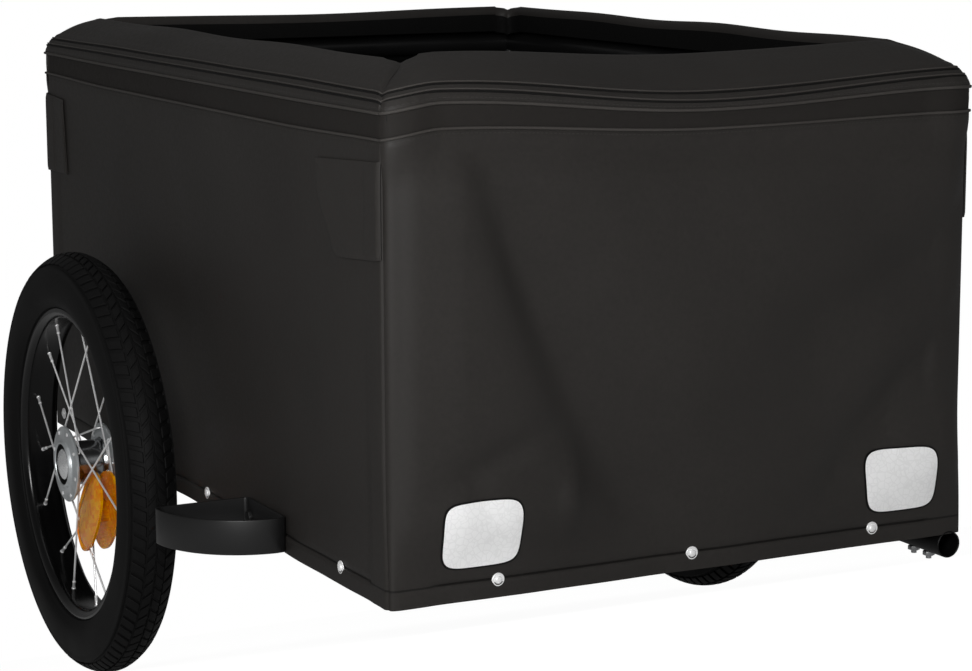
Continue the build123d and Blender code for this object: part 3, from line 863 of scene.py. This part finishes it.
def rim_pads():
    for title, wall in WALLS.items():
        places = stations(wall, (70, 100))
        sections = [pad_section(wall, full(wall, zone, r)) for zone, r in places]
        points = [[pad_spot(wall, zone, r, *sections[i][j]) for i, (zone, r) in enumerate(places)]
                  for j in range(len(sections[0]))]
        up = [LOW_SEAM + length for length in lengths([row[len(places) // 2] for row in points])]
        piece = lay_grid(f"pad_{title}", points, lengths(points[8]), up, (cover, lining), closed_round=True)
        edit(piece, "EDGE")
        bpy.ops.mesh.select_all(action="DESELECT")
        bpy.ops.mesh.select_non_manifold()
        bpy.ops.mesh.fill_holes(sides=0)
        take_all()
        bpy.ops.mesh.normals_make_consistent(inside=False)
        done()
        for index, face in enumerate(piece.data.polygons):
            if PAD_COVER_ROWS <= index // (len(places) - 1) < len(points):
                face.material_index = 1
        soften(piece, 50)
        settle(piece, (), [f"rim_pad_{title}"])
        # Each seam gets a near-black cord in its crease, which is painted shade, and a lighter binding cord on the
        # pad's roll above it.
        for line, inset, lift, radius, material in (
                ("low_seam", -0.004, 0.2, 0.9, dark_binding), ("low_seam", 0.012, 2.1, 0.8, binding),
                ("high_seam", 0.078, -0.2, 0.9, dark_binding), ("high_seam", 0.1, 1.6, 0.8, binding)):
            path = [pad_spot(wall, zone, r, inset, height_of(line, wall, full(wall, zone, r)) + lift * MM)
                    for zone, r in places]
            shade = "dark" if material == dark_binding else "light"
            cord = wire(f"{line}_{shade}_{title}", path, radius * MM)
            settle(cord, (material,))


def rounded(i, j, columns, rows, power):
    """A place on a tile with rounded corners, from -1 to 1 each way, and how near its edge it is."""
    a, b = 2 * i / columns - 1, 2 * j / rows - 1
    big = max(abs(a), abs(b))
    shape = (abs(a / big) ** power + abs(b / big) ** power) ** (-1 / power) if big > 1e-6 else 1.0
    return a * shape, b * shape, big


FLOOR_SAG = 5 * MM


def floor_sheet():
    low, high = level_box("floor_cloth")
    bars = [level_box(f"floor_crossbar_{n}") for n in ("front", "middle", "rear")]
    stops = [low.y + 12 * MM, *((a.y + b.y) / 2 for a, b in bars), high.y - 12 * MM]
    columns, rows = 60, 90
    points = []
    for j in range(rows + 1):
        line = []
        for i in range(columns + 1):
            a, b, _ = rounded(i, j, columns, rows, 16)
            x, y = a * high.x, lerp(low.y, high.y, (b + 1) / 2)
            sag = 0.0
            for start, end in zip(stops, stops[1:]):
                if start < y < end:
                    sag = sin(pi * (y - start) / (end - start))
            sag *= cos(pi / 2 * x / high.x) ** 0.6
            line.append(Vector((x, y, high.z - 0.3 * MM - FLOOR_SAG * sag)))
        points.append(line)
    across, up = evenly(2 * high.x, columns), evenly(high.y - low.y, rows, 0.6)
    piece = lay_grid("floor_sheet", points, across, up, (lining, cover))
    use_modifier(piece, "SOLIDIFY", thickness=1.4 * MM, offset=-1, material_offset=1)
    outwards(piece)
    soften(piece, 60)
    settle(piece, (), ["floor_cloth"])


def share_along(wall, along):
    """The share of a wall's straight run at a place, given as its x or its y."""
    axis = 0 if wall in END_WALLS else 1
    a, b = full(wall, 0, 0)[axis], full(wall, 0, 1)[axis]
    return (along - a) / (b - a)


def flap_edges(node, corner_y):
    """The flap's lower and upper edges, each as (distance from the corner, height), from its packed outline."""
    rim = set()
    for vertex in frame["nodes"][node].data.vertices:
        spot = UNLEVEL @ vertex.co
        rim.add((round(abs(spot.y - corner_y), 4), round(spot.z, 4)))
    reach = max(away for away, z in rim)
    far = max((corner for corner in rim if corner[0] > reach / 2), key=lambda corner: corner[1])
    near = max((corner for corner in rim if corner[0] < 1 * MM), key=lambda corner: corner[1])
    return sorted(rim - {far, near}), [near, far]


def along_edge(edge, away):
    for (a0, z0), (a1, z1) in zip(edge, edge[1:]):
        if a0 <= away <= a1 and a1 > a0:
            return lerp(z0, z1, (away - a0) / (a1 - a0))
    return edge[-1][1]


FLAP_OUT, FLAP_THICK = 2.1, 1.9  # mm: a flap's outer face from the cover, and its turned edge's thickness


def corner_flaps():
    columns, rows = 40, 20
    wrap = POST_WRAP_Y * (1 - SIDE_SEAM * 0.45)
    for end, corner_y in (("front", FRONT), ("rear", REAR)):
        low, high = level_box(f"corner_flap_{end}_right")
        length, tall = high.y - low.y, high.z - low.z
        for side in SIDES:
            wall, name = WALLS[side], f"corner_flap_{end}_{side}"
            first = (wall == LEFT_WALL) == (end == "front")  # the flap's corner starts this wall
            lower, upper = flap_edges(name, corner_y)
            lean = max(0.0, 1 - upper[-1][0] / length)
            points = []
            for j in range(rows + 1):
                line = []
                for i in range(columns + 1):
                    away = length * i / columns * (1 - lean * j / rows)
                    bottom, top = along_edge(lower, away), along_edge(upper, away)
                    z = lerp(bottom, top, j / rows)
                    if away < wrap:
                        r = lerp(0.12, 1.0, away / wrap)
                        zone, r = (-1, r) if first else (1, 1 - r)
                    else:
                        r = share_along(wall, corner_y + (away if end == "front" else -away))
                        zone, r = 0, min(max(r, 0.0), 1.0)
                    rim = min(length - away, z - bottom, top - z) / MM
                    puff = 0.8 * ease(rim / 5) + 0.3 * sin(away / MM / 9)
                    line.append(cloth_spot(wall, zone, r, z, (FLAP_OUT + puff) * MM))
                points.append(line if first else line[::-1])
            piece = lay_grid(f"flap_{end}_{side}", points, lengths(points[rows]), evenly(tall, rows), (flap_cloth,))
            use_modifier(piece, "SOLIDIFY", thickness=FLAP_THICK * MM, offset=-1)
            soften(piece, 60)
            settle(piece, (), [name])


def patch_grid(name, low, high, grow, out, crown, material):
    """A rounded tile of tape lying on the front cloth."""
    steps = 26
    middle = (low + high) / 2
    wide, tall = (high.x - low.x) / 2 + grow, (high.z - low.z) / 2 + grow
    points = []
    for j in range(steps + 1):
        line = []
        for i in range(steps + 1):
            a, b, big = rounded(i, j, steps, steps, 5)
            x, z = middle.x + a * wide, middle.z + b * tall
            rise = out + crown * (1 - big ** 6)
            line.append(cloth_spot(FRONT_WALL, 0, share_along(FRONT_WALL, x), z, rise))
        points.append(line)
    return lay_grid(name, points, evenly(2 * wide, steps), evenly(2 * tall, steps), (material,))


def patches():
    """Each white patch, on a slightly bigger dark binding."""
    for side in SIDES:
        node = f"reflective_patch_{side}"
        low, high = level_box(node)
        for name, grow, out, crown, thick, material, cut, slot, stands_for in (
                (f"patch_binding_{side}", 1.4, 0.9, 0.0, 1.0, dark_binding, 0.003, "cover_fabric", ()),
                (f"patch_{side}", 0.0, 1.2, 0.7, 0.9, tape_white, 0.0, "reflective_white", [node])):
            piece = patch_grid(name, low, high, grow * MM, out * MM, crown * MM, material)
            use_modifier(piece, "SOLIDIFY", thickness=thick * MM, offset=-1)
            soften(piece, 50)
            settle(piece, (), stands_for)


# ---- metal fittings
def rivet_button():
    """A domed rivet in a cupped washer, lying on the YZ plane and facing +X."""
    profile = [(0.0, 6.0), (0.5, 6.0), (0.95, 5.75), (1.15, 5.2), (1.1, 4.5), (0.85, 3.9), (0.9, 3.6), (1.5, 3.45),
               (2.1, 3.05), (2.5, 2.3), (2.75, 1.3), (2.82, 0.0)]
    button = turn("rivet", profile, 28)
    soften(button, 50)
    return button


def rivets():
    button = rivet_button()
    for title, wall in WALLS.items():
        heads = []
        for at in RIVETS[wall]:
            r = share_along(wall, at)
            spot = cloth_spot(wall, 0, r, RIVET_Z, 0.2 * MM)
            normal = facing(wall, 0, r, 0.0, 0.0)
            head = copy_of(button, f"rivet_{title}")
            place(head, Matrix.Translation(spot) @ facing_along(normal))
            heads.append(head)
        piece = merge(f"rivets_{title}_row", *heads)
        settle(piece, (rivet_metal,), [f"rivets_{title}"])
    bpy.data.objects.remove(button)


def hex_nut(name, across, height, bore, chamfer=0.8):
    """A nut on the YZ plane facing +X, with a raised face and a dent where its bore begins."""
    drop_selection()
    bpy.ops.mesh.primitive_cylinder_add(vertices=6, radius=across / 2 / cos(pi / 6) * MM,
                                        depth=height * MM, location=(height / 2 * MM, 0, 0),
                                        rotation=(0, pi / 2, 0))
    nut = made(name)
    only(nut)
    set_down()
    pick(nut, lambda face: abs(face.normal.x) > 0.9)
    bpy.ops.mesh.inset(thickness=chamfer * MM, depth=0)
    bpy.ops.mesh.inset(thickness=(across / 2 - bore / 2 - 2 * chamfer) * MM * 0.8, depth=0.25 * MM)
    bpy.ops.mesh.inset(thickness=0.3 * MM, depth=-0.6 * MM)
    done()
    round_edges(nut, 0.5 * MM, 2, 30)
    soften(nut, 40)
    return nut


def bolt(name, across, head, shank_d, length, thread=True):
    """A bolt along X: its head from 0 to head, and its threaded shank back to -length."""
    nut = hex_nut(f"{name}_head", across, head, shank_d * 0.6)
    r = shank_d / 2
    profile = [(0.3, 0.0), (0.3, r * 0.98)]
    if thread:
        turns = int(length)
        for k in range(turns):
            at = -length * (k + 0.5) / turns
            profile += [(at + 0.25 * length / turns, r), (at - 0.2 * length / turns, r * 0.86)]
    profile += [(-length + 0.6, r * 0.92), (-length, r * 0.7), (-length, 0.0)]
    shank = turn(f"{name}_shank", profile, 20)
    soften(shank, 30)
    return merge(name, nut, shank)


M6_HEX = {"across": 10, "head": 4, "shank_d": 6}
GUARD_BAR = 3.0  # mm, the thickness of the guard's flat bar


def guard_path(reach, length):
    """The wheel guard's outline in plan, in mm from the inner rear corner: outwards, then forwards."""
    bar, bend = GUARD_BAR, 5.0
    path = [(bar / 2, -bar / 2 - bend)]
    path += [(bend + bar / 2 - bend * cos(a), -bar / 2 - bend + bend * sin(a))
             for a in (pi / 2 * k / 5 for k in range(1, 6))]
    a, b = reach - bar / 2, length - bar / 2
    path += [(a - 9, -bar / 2), (a - 4.5, -bar / 2 - 0.6), (a - 1.6, -bar / 2 - 2.8), (a - 0.2, -bar / 2 - 7)]
    for k in range(1, 24):
        angle = pi / 2 * (0.06 + 0.9 * k / 24)
        grow = 1 + 0.02 * sin(2 * angle)
        path.append((a * cos(angle) * grow, -b * sin(angle) * grow))
    return path + [(bar / 2 + 3.2, -b + 0.9), (bar / 2 + 0.9, -b + 3.0), (bar / 2, -b + 6.5)]


def wheel_guards():
    low, high = level_box("wheel_guard_left")
    path = guard_path((high.x - low.x) / MM, (high.y - low.y) / MM)
    points = [(low.x + x * MM, high.y + y * MM, low.z) for x, y in path]
    strap = draw_line("wheel_guard", points, closed=True)
    edit(strap, "EDGE")
    take_all()
    for _ in range(2):
        bpy.ops.mesh.extrude_region_move(TRANSFORM_OT_translate={"value": (0, 0, (high.z - low.z) / 2)})
    done()
    outwards(strap)
    use_modifier(strap, "SOLIDIFY", thickness=GUARD_BAR * MM, offset=0)
    round_edges(strap, 0.9 * MM, 3, 50)
    soften(strap, 40)
    bolt_low, bolt_high = level_box("guard_bolts_left")
    head = bolt("guard_bolt", length=3, thread=False, **M6_HEX)
    for side, sign in SIDES.items():
        flip = flipped(sign)
        twin = copy_of(strap, f"guard_{side}")
        place(twin, flip)
        settle(twin, (powder,), [f"wheel_guard_{side}"])
        pair = []
        for y in (bolt_low.y + 5 * MM, bolt_high.y - 5 * MM):
            one = copy_of(head, "guard_bolt_one")
            place(one, flip @ shift(low.x + GUARD_BAR * MM, y, (low.z + high.z) / 2))
            pair.append(one)
        settle(merge(f"guard_bolt_pair_{side}", *pair), (powder,),
               [f"guard_bolts_{side}"])
    for piece in (strap, head):
        bpy.data.objects.remove(piece)


HEAD_UP = 7.0  # mm from a clamp bolt's lower end up to its shank


def drawbar_socket():
    """The open socket tube, and the two clamp bolts that hang under it."""
    low, high = level_box("drawbar_receiver")
    r, bore, length = (high.x - low.x) / 2 / MM, 11.0, (high.y - low.y) / MM
    profile = [(0.6, bore), (0.0, bore + 0.5), (0.0, r - 0.5), (0.5, r), (length - 0.5, r), (length, r - 0.5),
               (length, bore + 0.5), (length - 0.6, bore), (length * 0.66, bore), (length * 0.33, bore)]
    body = turn("drawbar_socket", profile, 48, axis="Y", closed=True)
    soften(body, 35)
    place(body, shift((low.x + high.x) / 2, low.y, (low.z + high.z) / 2))
    settle(body, (socket_powder,), ["drawbar_receiver"])
    for name in ("front", "rear"):
        a, b = level_box(f"clamp_bolt_{name}")
        piece = bolt(f"socket_bolt_{name}", length=(b.z - a.z) / MM - HEAD_UP, **M6_HEX)
        tail = turn("bolt_tail", [(0.0, 0.0), (0.0, 2.6), (-2.4, 2.6), (-3.0, 2.0), (-3.0, 0.0)], 20)
        place(tail, shift(HEAD_UP * MM))
        soften(tail, 30)
        piece = merge(f"socket_bolt_{name}", piece, tail)
        down = Matrix.Rotation(pi / 2, 4, "Y")
        place(piece, shift((a.x + b.x) / 2, (a.y + b.y) / 2, a.z + HEAD_UP * MM) @ down)
        settle(piece, (bolt_metal,), [f"clamp_bolt_{name}"])


# ---- wheels
tyre_low, tyre_high = level_box("tyre_left")
TYRE_R = tyre_high.z / MM
TYRE_W = (tyre_high.x - tyre_low.x) / 2 / MM
rim_low, rim_high = level_box("rim_left")
RIM_R = rim_high.z / MM
RIM_W = (rim_high.x - rim_low.x) / 2 / MM
SEAT_R = RIM_R - 4.5
BED_R = RIM_R - 10.0
TREAD = 1.9  # depth of the grooves
BLOCK_ROOT = 0.3  # how far a block goes into the casing
PITCH = 92  # tread blocks round the tyre


def casing():
    """One half of the tyre's section below its tread blocks, from the crown out to the bead."""
    crown = TYRE_R - TREAD
    drops = ((0.0, 0.0), (5.0, 0.4), (9.0, 1.8), (13.0, 4.0), (16.5, 6.5), (20.0, 9.4), (21.2, 11.3), (22.3, 11.2),
             (23.9, 11.5), (24.4, 12.6), (24.2, 15.0), (24.9, 19.0), (25.7, 25.0), (TYRE_W, 31.5), (TYRE_W, 37.0),
             (25.6, 41.5), (24.6, 45.0), (22.6, 48.6), (20.6, 51.0), (20.3, 51.8), (19.2, 52.4))
    bead = [(18.4, RIM_R + 0.8), (17.4, RIM_R + 0.2), (RIM_W - 2.4, RIM_R - 1), (RIM_W - 2.5, SEAT_R)]
    return [(x, crown - drop) for x, drop in drops] + bead


def tread_block(name, run, span, lean):
    """One tread block: a strip of the casing's section, spun a little way round and raised."""
    half = casing()

    def radius(x):
        for (x0, r0), (x1, r1) in zip(half, half[1:]):
            if x0 <= abs(x) <= x1:
                return lerp(r0, r1, (abs(x) - x0) / (x1 - x0))
        return half[-1][1]

    a, b = run
    points = []
    for k in range(4):
        x = lerp(a, b, k / 3)
        angle = radians(lean * (k / 3 - 0.5))
        r = radius(x) - BLOCK_ROOT
        points.append((x * MM, -sin(angle) * r * MM, cos(angle) * r * MM))
    piece = draw_line(name, points)
    edit(piece, "VERT")
    take_all()
    bpy.ops.mesh.spin(steps=3, angle=radians(span), center=(0, 0, 0), axis=(1, 0, 0))
    take_all()
    bpy.ops.mesh.normals_make_consistent(inside=False)
    done()
    mesh = piece.data
    if sum(face.normal.z for face in mesh.polygons) < 0:
        mesh.flip_normals()
    use_modifier(piece, "SOLIDIFY", thickness=(TREAD + BLOCK_ROOT) * MM, offset=1)
    round_edges(piece, 0.45 * MM, 1, 40)
    return piece


def tyre():
    half = casing()
    section = [(-x, r) for x, r in reversed(half[1:])] + half
    body = turn("tyre", section + [(section[-1][0], SEAT_R - 0.01)], 144, closed=True)
    step = 360 / PITCH
    blocks = []
    shoulder, inner = step * 0.72, step * 0.78
    rows = [((9.6, 20.2), shoulder, -1.4, 0.0), ((-20.2, -9.6), shoulder, 1.4, 0.5),
            ((0.8, 8.4), inner, 2.2, 0.5), ((-8.4, -0.8), inner, -2.2, 0.0)]
    for index, (run, span, lean, phase) in enumerate(rows):
        block = tread_block(f"tread_{index}", run, span, lean)
        place(block, turned(step * phase, "X"))
        around_axle(block, PITCH)
        blocks.append(block)
    whole = merge("tyre", body, *blocks)
    soften(whole, 38)
    on_both_wheels(whole, "tyre_tread", (rubber,), "tyre")


def rim():
    """A wide rim with rolled flanges and a smooth bed."""
    w = RIM_W
    half = [(w - 2.5, SEAT_R), (w - 2.5, RIM_R - 1.6), (w - 2.1, RIM_R - 0.5), (w - 1.2, RIM_R), (w - 0.4, RIM_R - 0.5),
            (w, RIM_R - 1.6), (w, RIM_R - 3.4), (w - 0.4, RIM_R - 5.2), (w - 1.3, RIM_R - 7.0), (w - 2.7, RIM_R - 8.5),
            (w - 4.6, RIM_R - 9.5), (w - 6.5, BED_R), (w - 10.0, BED_R + 0.4), (w - 14.0, BED_R + 0.2)]
    section = half + [(-x, r) for x, r in reversed(half)]
    body = turn("rim", section, 144, closed=True)
    soften(body, 30)
    on_both_wheels(body, "rim_shell", (enamel,), "rim")


hub_high = level_box("hub_left")[1]
FLANGE_R = hub_high.z / MM
HUB_END = (hub_high.x - WHEEL_X) / MM
FLANGE_X = 19.5
SPOKE_R = FLANGE_R - 5.0
HOLES = 8
FIRST_HOLE = 16.6  # degrees from +Y towards +Z
LENS_ANGLE = radians(130)  # the reflector's length, from +Y towards +Z
LENS_LONG, LENS_WIDE = 98 * MM, 58 * MM
LENS_BACK = 7.0  # mm from the wheel's middle plane to a lens's flat back
LENS_TILT = radians(-4)  # the two lenses spread apart away from the hub
# Insets from a lens's edge to its crown, each with its rise
LENS_STEPS = ((1.6, 0.6), (0.9, -1.7), (1.0, -0.1), (3.6, 1.9), (5.0, 1.4), (5.0, 1.0), (5.0, 0.4))


def hub():
    f0, f1 = FLANGE_X - 1.5, FLANGE_X + 1.5
    shell = [(-HUB_END, 6.4), (-HUB_END, 11.2), (-HUB_END + 0.6, 12.0), (-f1 - 0.6, 15.6), (-f1, 17.0), (-f1, 25.0),
             (-f1, FLANGE_R - 0.7), (-f1 + 0.7, FLANGE_R), (-f0 - 0.7, FLANGE_R), (-f0, FLANGE_R - 0.7),
             (-f0, 26.5), (-f0 + 1.4, 24.0), (-f0 + 4, 22.6), (-f0 + 7, 22.0), (f0 - 7, 22.0), (f0 - 4, 22.6),
             (f0 - 1.4, 24.2), (f0, 26.8), (f0, FLANGE_R - 0.7), (f0 + 0.7, FLANGE_R), (f1 - 0.7, FLANGE_R),
             (f1, FLANGE_R - 0.7), (f1, 25.2), (f1 + 0.5, 24.0), (HUB_END - 1.0, 22.9), (HUB_END - 0.2, 22.3),
             (HUB_END, 21.6), (HUB_END - 0.3, 20.8), (HUB_END - 1.2, 20.4), (HUB_END - 4.6, 20.2),
             (HUB_END - 5.0, 19.6), (HUB_END - 5.0, 12.0), (HUB_END - 5.0, 6.4)]
    body = turn("hub", shell, 96, closed=True)
    soften(body, 30)
    # Painted shade: the recess in the hub's end, round the axle cap, takes the near-black finish (slot 2).
    for material in (alloy, barrel_metal, dark_binding):
        body.data.materials.append(material)
    for face in body.data.polygons:
        x, r = face.center.x / MM, hypot(face.center.y, face.center.z) / MM
        if -f0 + 1 < x < f0 - 1:
            face.material_index = 1
        elif x > f1 - 2 and r < 20.3:
            face.material_index = 2
    on_both_wheels(body, "hub_shell", (), "hub")


def spoke(flange, hole):
    """A spoke with its head, its elbow through the flange and its nipple in the rim."""
    lead = 1 if hole % 2 == 0 else -1
    start = radians(FIRST_HOLE + hole * 360 / HOLES + (0 if flange > 0 else 180 / HOLES))
    end = start + lead * pi / 2

    def at(x, r, angle):
        return Vector((flange * x * MM, r * cos(angle) * MM, r * sin(angle) * MM))

    head = at(FLANGE_X + 1.9, SPOKE_R, start)
    inside = FLANGE_X - 1.5 - (1.3 if lead > 0 else 3.4)
    tip = at(2.5, BED_R + 0.2, end)
    knee = at(inside + 0.9, SPOKE_R, start)
    bend = at(inside, SPOKE_R, start)
    run = (tip - bend).normalized()
    bend = bend + run * 1.2 * MM
    stem = wire("spoke_wire", [head, knee, bend, bend + run * 3 * MM, tip], 1.0 * MM)
    button = turn("spoke_head", [(0.0, 0.0), (0.0, 1.9), (0.35, 2.1), (0.8, 1.75), (1.15, 1.0), (1.25, 0.0)], 14)
    place(button, Matrix.Translation(at(FLANGE_X + 1.5, SPOKE_R, start)) @ flipped(flange))
    nipple = turn("nipple", [(-10.4, 0.0), (-10.4, 1.3), (-9.9, 1.75), (-8.9, 1.75), (-8.4, 1.5), (-1.2, 1.5),
                             (-0.7, 2.1), (0.4, 2.2), (0.4, 0.0)], 12)
    place(nipple, Matrix.Translation(tip) @ facing_along(run))
    return merge("spoke", stem, button, nipple)


def spokes():
    pieces = [spoke(flange, hole) for flange in (1, -1) for hole in range(HOLES)]
    whole = merge("spokes", *pieces)
    outwards(whole)
    soften(whole, 45)
    on_both_wheels(whole, "spoke_set", (chrome,), "spokes")


def reflector():
    """Two crowned amber lenses with raised rims, back to back, joined by a rib."""
    low, high = level_box("spoke_reflector_left")
    centre = (low + high) / 2
    away = atan2(centre.z, centre.y) - LENS_ANGLE
    tilt = Matrix.Rotation(LENS_TILT, 4, Vector((0, -sin(away), cos(away))))
    lenses = []
    for face_side in (1, -1):
        drop_selection()
        bpy.ops.mesh.primitive_circle_add(vertices=64, radius=1.0, fill_type="NGON", rotation=(0, pi / 2, 0))
        lens = made("lens")
        set_down()
        for vertex in lens.data.vertices:
            y, z = vertex.co.y, vertex.co.z
            power = (abs(y) ** 2.3 + abs(z) ** 2.3) ** (-1 / 2.3)
            vertex.co = (0.0, y * power * LENS_LONG / 2, z * power * LENS_WIDE / 2)
        outwards(lens)
        edit(lens)
        take_all()
        bpy.ops.mesh.extrude_region_move(TRANSFORM_OT_translate={"value": (2.6 * MM, 0, 0)})
        for thickness, depth in LENS_STEPS:
            bpy.ops.mesh.inset(thickness=thickness * MM, depth=depth * MM)
        done()
        outwards(lens)
        place(lens, shift(LENS_BACK * MM) @ tilt)
        place(lens, flipped(face_side))
        soften(lens, 24)
        lenses.append(lens)
    rib = turn("reflector_rib", [(-11.0, 0.0), (-11.0, 3.0), (11.0, 3.0), (11.0, 0.0)], 24)
    place(rib, Matrix.Diagonal((1, 4, 4, 1)))
    body = merge("reflector", *lenses, rib)
    place(body, shift(0, centre.y, centre.z) @ Matrix.Rotation(LENS_ANGLE, 4, "X"))
    on_both_wheels(body, "reflector_lens", (amber,), "spoke_reflector")


def axles():
    low, high = level_box("axle_left")
    cap_end = (high.x - WHEEL_X) / MM
    inboard = (low.x - WHEEL_X) / MM
    floor = cap_end - 7.0
    cap_r = (high.z - low.z) / 2 / MM
    profile = [(inboard, 0.0), (inboard, 4.8), (inboard + 1.0, 5.8), (inboard + 1.6, 6.0), (floor, 6.0),
               (floor, cap_r - 0.6), (floor + 0.5, cap_r), (floor + 2.6, cap_r - 0.2), (floor + 3.6, cap_r - 1.2),
               (floor + 4.4, cap_r - 3.0), (floor + 5.2, cap_r - 5.4), (floor + 5.9, cap_r - 8.2),
               (cap_end - 0.35, cap_r - 11.2), (cap_end, 2.4), (cap_end, 0.0)]
    body = turn("axle", profile, 64)
    soften(body, 35)
    on_both_wheels(body, "axle_bolt", (zinc,), "axle", body="chassis")
    for node in ("axle_lock_nut", "axle_end_nut"):
        a, b = level_box(f"{node}_left")
        nut = hex_nut(node, 19, (b.x - a.x) / MM, 14, 1.0)
        place(nut, shift(a.x - WHEEL_X))
        on_both_wheels(nut, f"{node}_hex", (zinc,), node, body="chassis")
    a, b = level_box("axle_sleeve_left")
    start, end = (a.x - WHEEL_X) / MM, (b.x - WHEEL_X) / MM
    r = (b.z - a.z) / 2 / MM
    profile = [(start + 3, 6.2), (start + 3, r), (end - 9.4, r), (end - 9.0, r - 0.8), (end - 7.8, r - 0.8),
               (end - 7.4, r), (end - 2.0, r), (end - 1.8, r + 1.6), (end - 0.2, r + 1.6), (end, r + 1.3), (end, 6.2)]
    sleeve = turn("sleeve", profile, 48, closed=True)
    soften(sleeve, 35)
    on_both_wheels(sleeve, "axle_spacer", (zinc,), "axle_sleeve", body="chassis")


# ---- the studio
# The camera and the lamps have their places in the level frame, in metres and degrees
LENS = 97.9  # mm, on a 36 mm sensor
CAMERA_AT, CAMERA_TURN, CAMERA_DOWN, CAMERA_ROLL = (-1.1753, -2.5012, 0.578), -27.03, 9.82, -0.22
ROOM, WHITE = 0.17, 1.0  # the room's light on the trailer, and as it is seen
FLOOR_GLOW, GLOSSY_SHARE = 1.2, 0.2  # the floor's glow as it is seen, and its share in reflections
FLOOR_BLEND = 0.8  # how much of the seen floor is glow; the rest keeps the shadow
LAMPS = {"key": ((-1.3, -2.05, 0.82), (-0.1, -0.5, 0.2), 0.6, 29),  # place, aim, size, watts
         "top": ((-0.4, -0.45, 3.0), (0.0, -0.4, 0.3), 2.0, 7)}


def is_seen(tree):
    """1 for what the camera sees, straight or through clear pieces, and the node that it comes from."""
    rays = put(tree, "ShaderNodeLightPath")
    return calc(tree, "MAXIMUM", rays.outputs["Is Camera Ray"], rays.outputs["Is Transmission Ray"]), rays


def set_camera(scene):
    data = bpy.data.cameras.new("camera")
    data.lens = LENS
    data.sensor_width = 36
    data.clip_end = 100
    camera = bpy.data.objects.new("camera", data)
    scene.collection.objects.link(camera)
    camera.matrix_world = (LEVEL @ Matrix.Translation(CAMERA_AT) @ turned(CAMERA_TURN, "Z")
                           @ turned(90 - CAMERA_DOWN, "X") @ turned(CAMERA_ROLL, "Z"))
    scene.camera = camera


def light_room(scene):
    world = bpy.data.worlds.new("studio")
    scene.world = world
    world.use_nodes = True
    tree = world.node_tree
    join(tree, spread(tree, is_seen(tree)[0], ROOM, WHITE), tree.nodes["Background"].inputs["Strength"])
    tree.nodes["Background"].inputs["Color"].default_value = (1, 1, 1, 1)
    for name, (spot, aim, size, power) in LAMPS.items():
        light = bpy.data.lights.new(name, "AREA")
        light.size = size
        light.energy = power
        lamp = bpy.data.objects.new(name, light)
        scene.collection.objects.link(lamp)
        here, there = LEVEL @ Vector(spot), LEVEL @ Vector(aim)
        lamp.matrix_world = Matrix.Translation(here) @ (there - here).to_track_quat("-Z", "Y").to_matrix().to_4x4()


def lay_floor():
    drop_selection()
    bpy.ops.mesh.primitive_plane_add(size=40)
    floor = made("studio_floor")
    material, tree, shader = blank("studio_floor")
    finish(shader, Base_Color=(0.86, 0.86, 0.86, 1), Roughness=0.9, Specular_IOR_Level=0.0)
    glow = put(tree, "ShaderNodeEmission", in_Strength=FLOOR_GLOW)
    mixer = put(tree, "ShaderNodeMixShader")
    shown, rays = is_seen(tree)
    shown = calc(tree, "MAXIMUM", shown, calc(tree, "MULTIPLY", rays.outputs["Is Glossy Ray"], GLOSSY_SHARE))
    for index, out in enumerate((calc(tree, "MULTIPLY", shown, FLOOR_BLEND), shader.outputs[0], glow.outputs[0])):
        join(tree, out, mixer.inputs[index])
    join(tree, mixer.outputs[0], tree.nodes["Material Output"].inputs["Surface"])
    floor.data.materials.append(material)


def studio():
    scene = bpy.context.scene
    set_camera(scene)
    light_room(scene)
    lay_floor()
    scene.view_settings.view_transform = "Standard"


def coat_frame():
    """The tubes keep their exact shape and get the powder coat."""
    for subpart in record["subparts"]:
        if subpart["material_slot"] != "frame_black":
            continue
        node = frame["nodes"][subpart["node"]]
        for slot in node.material_slots:
            slot.material = powder


for make in (studio, coat_frame, wall_panels, cover_trim, rim_pads, floor_sheet, corner_flaps, patches, rivets,
             wheel_guards, drawbar_socket, tyre, rim, hub, spokes, reflector, axles):
    make()
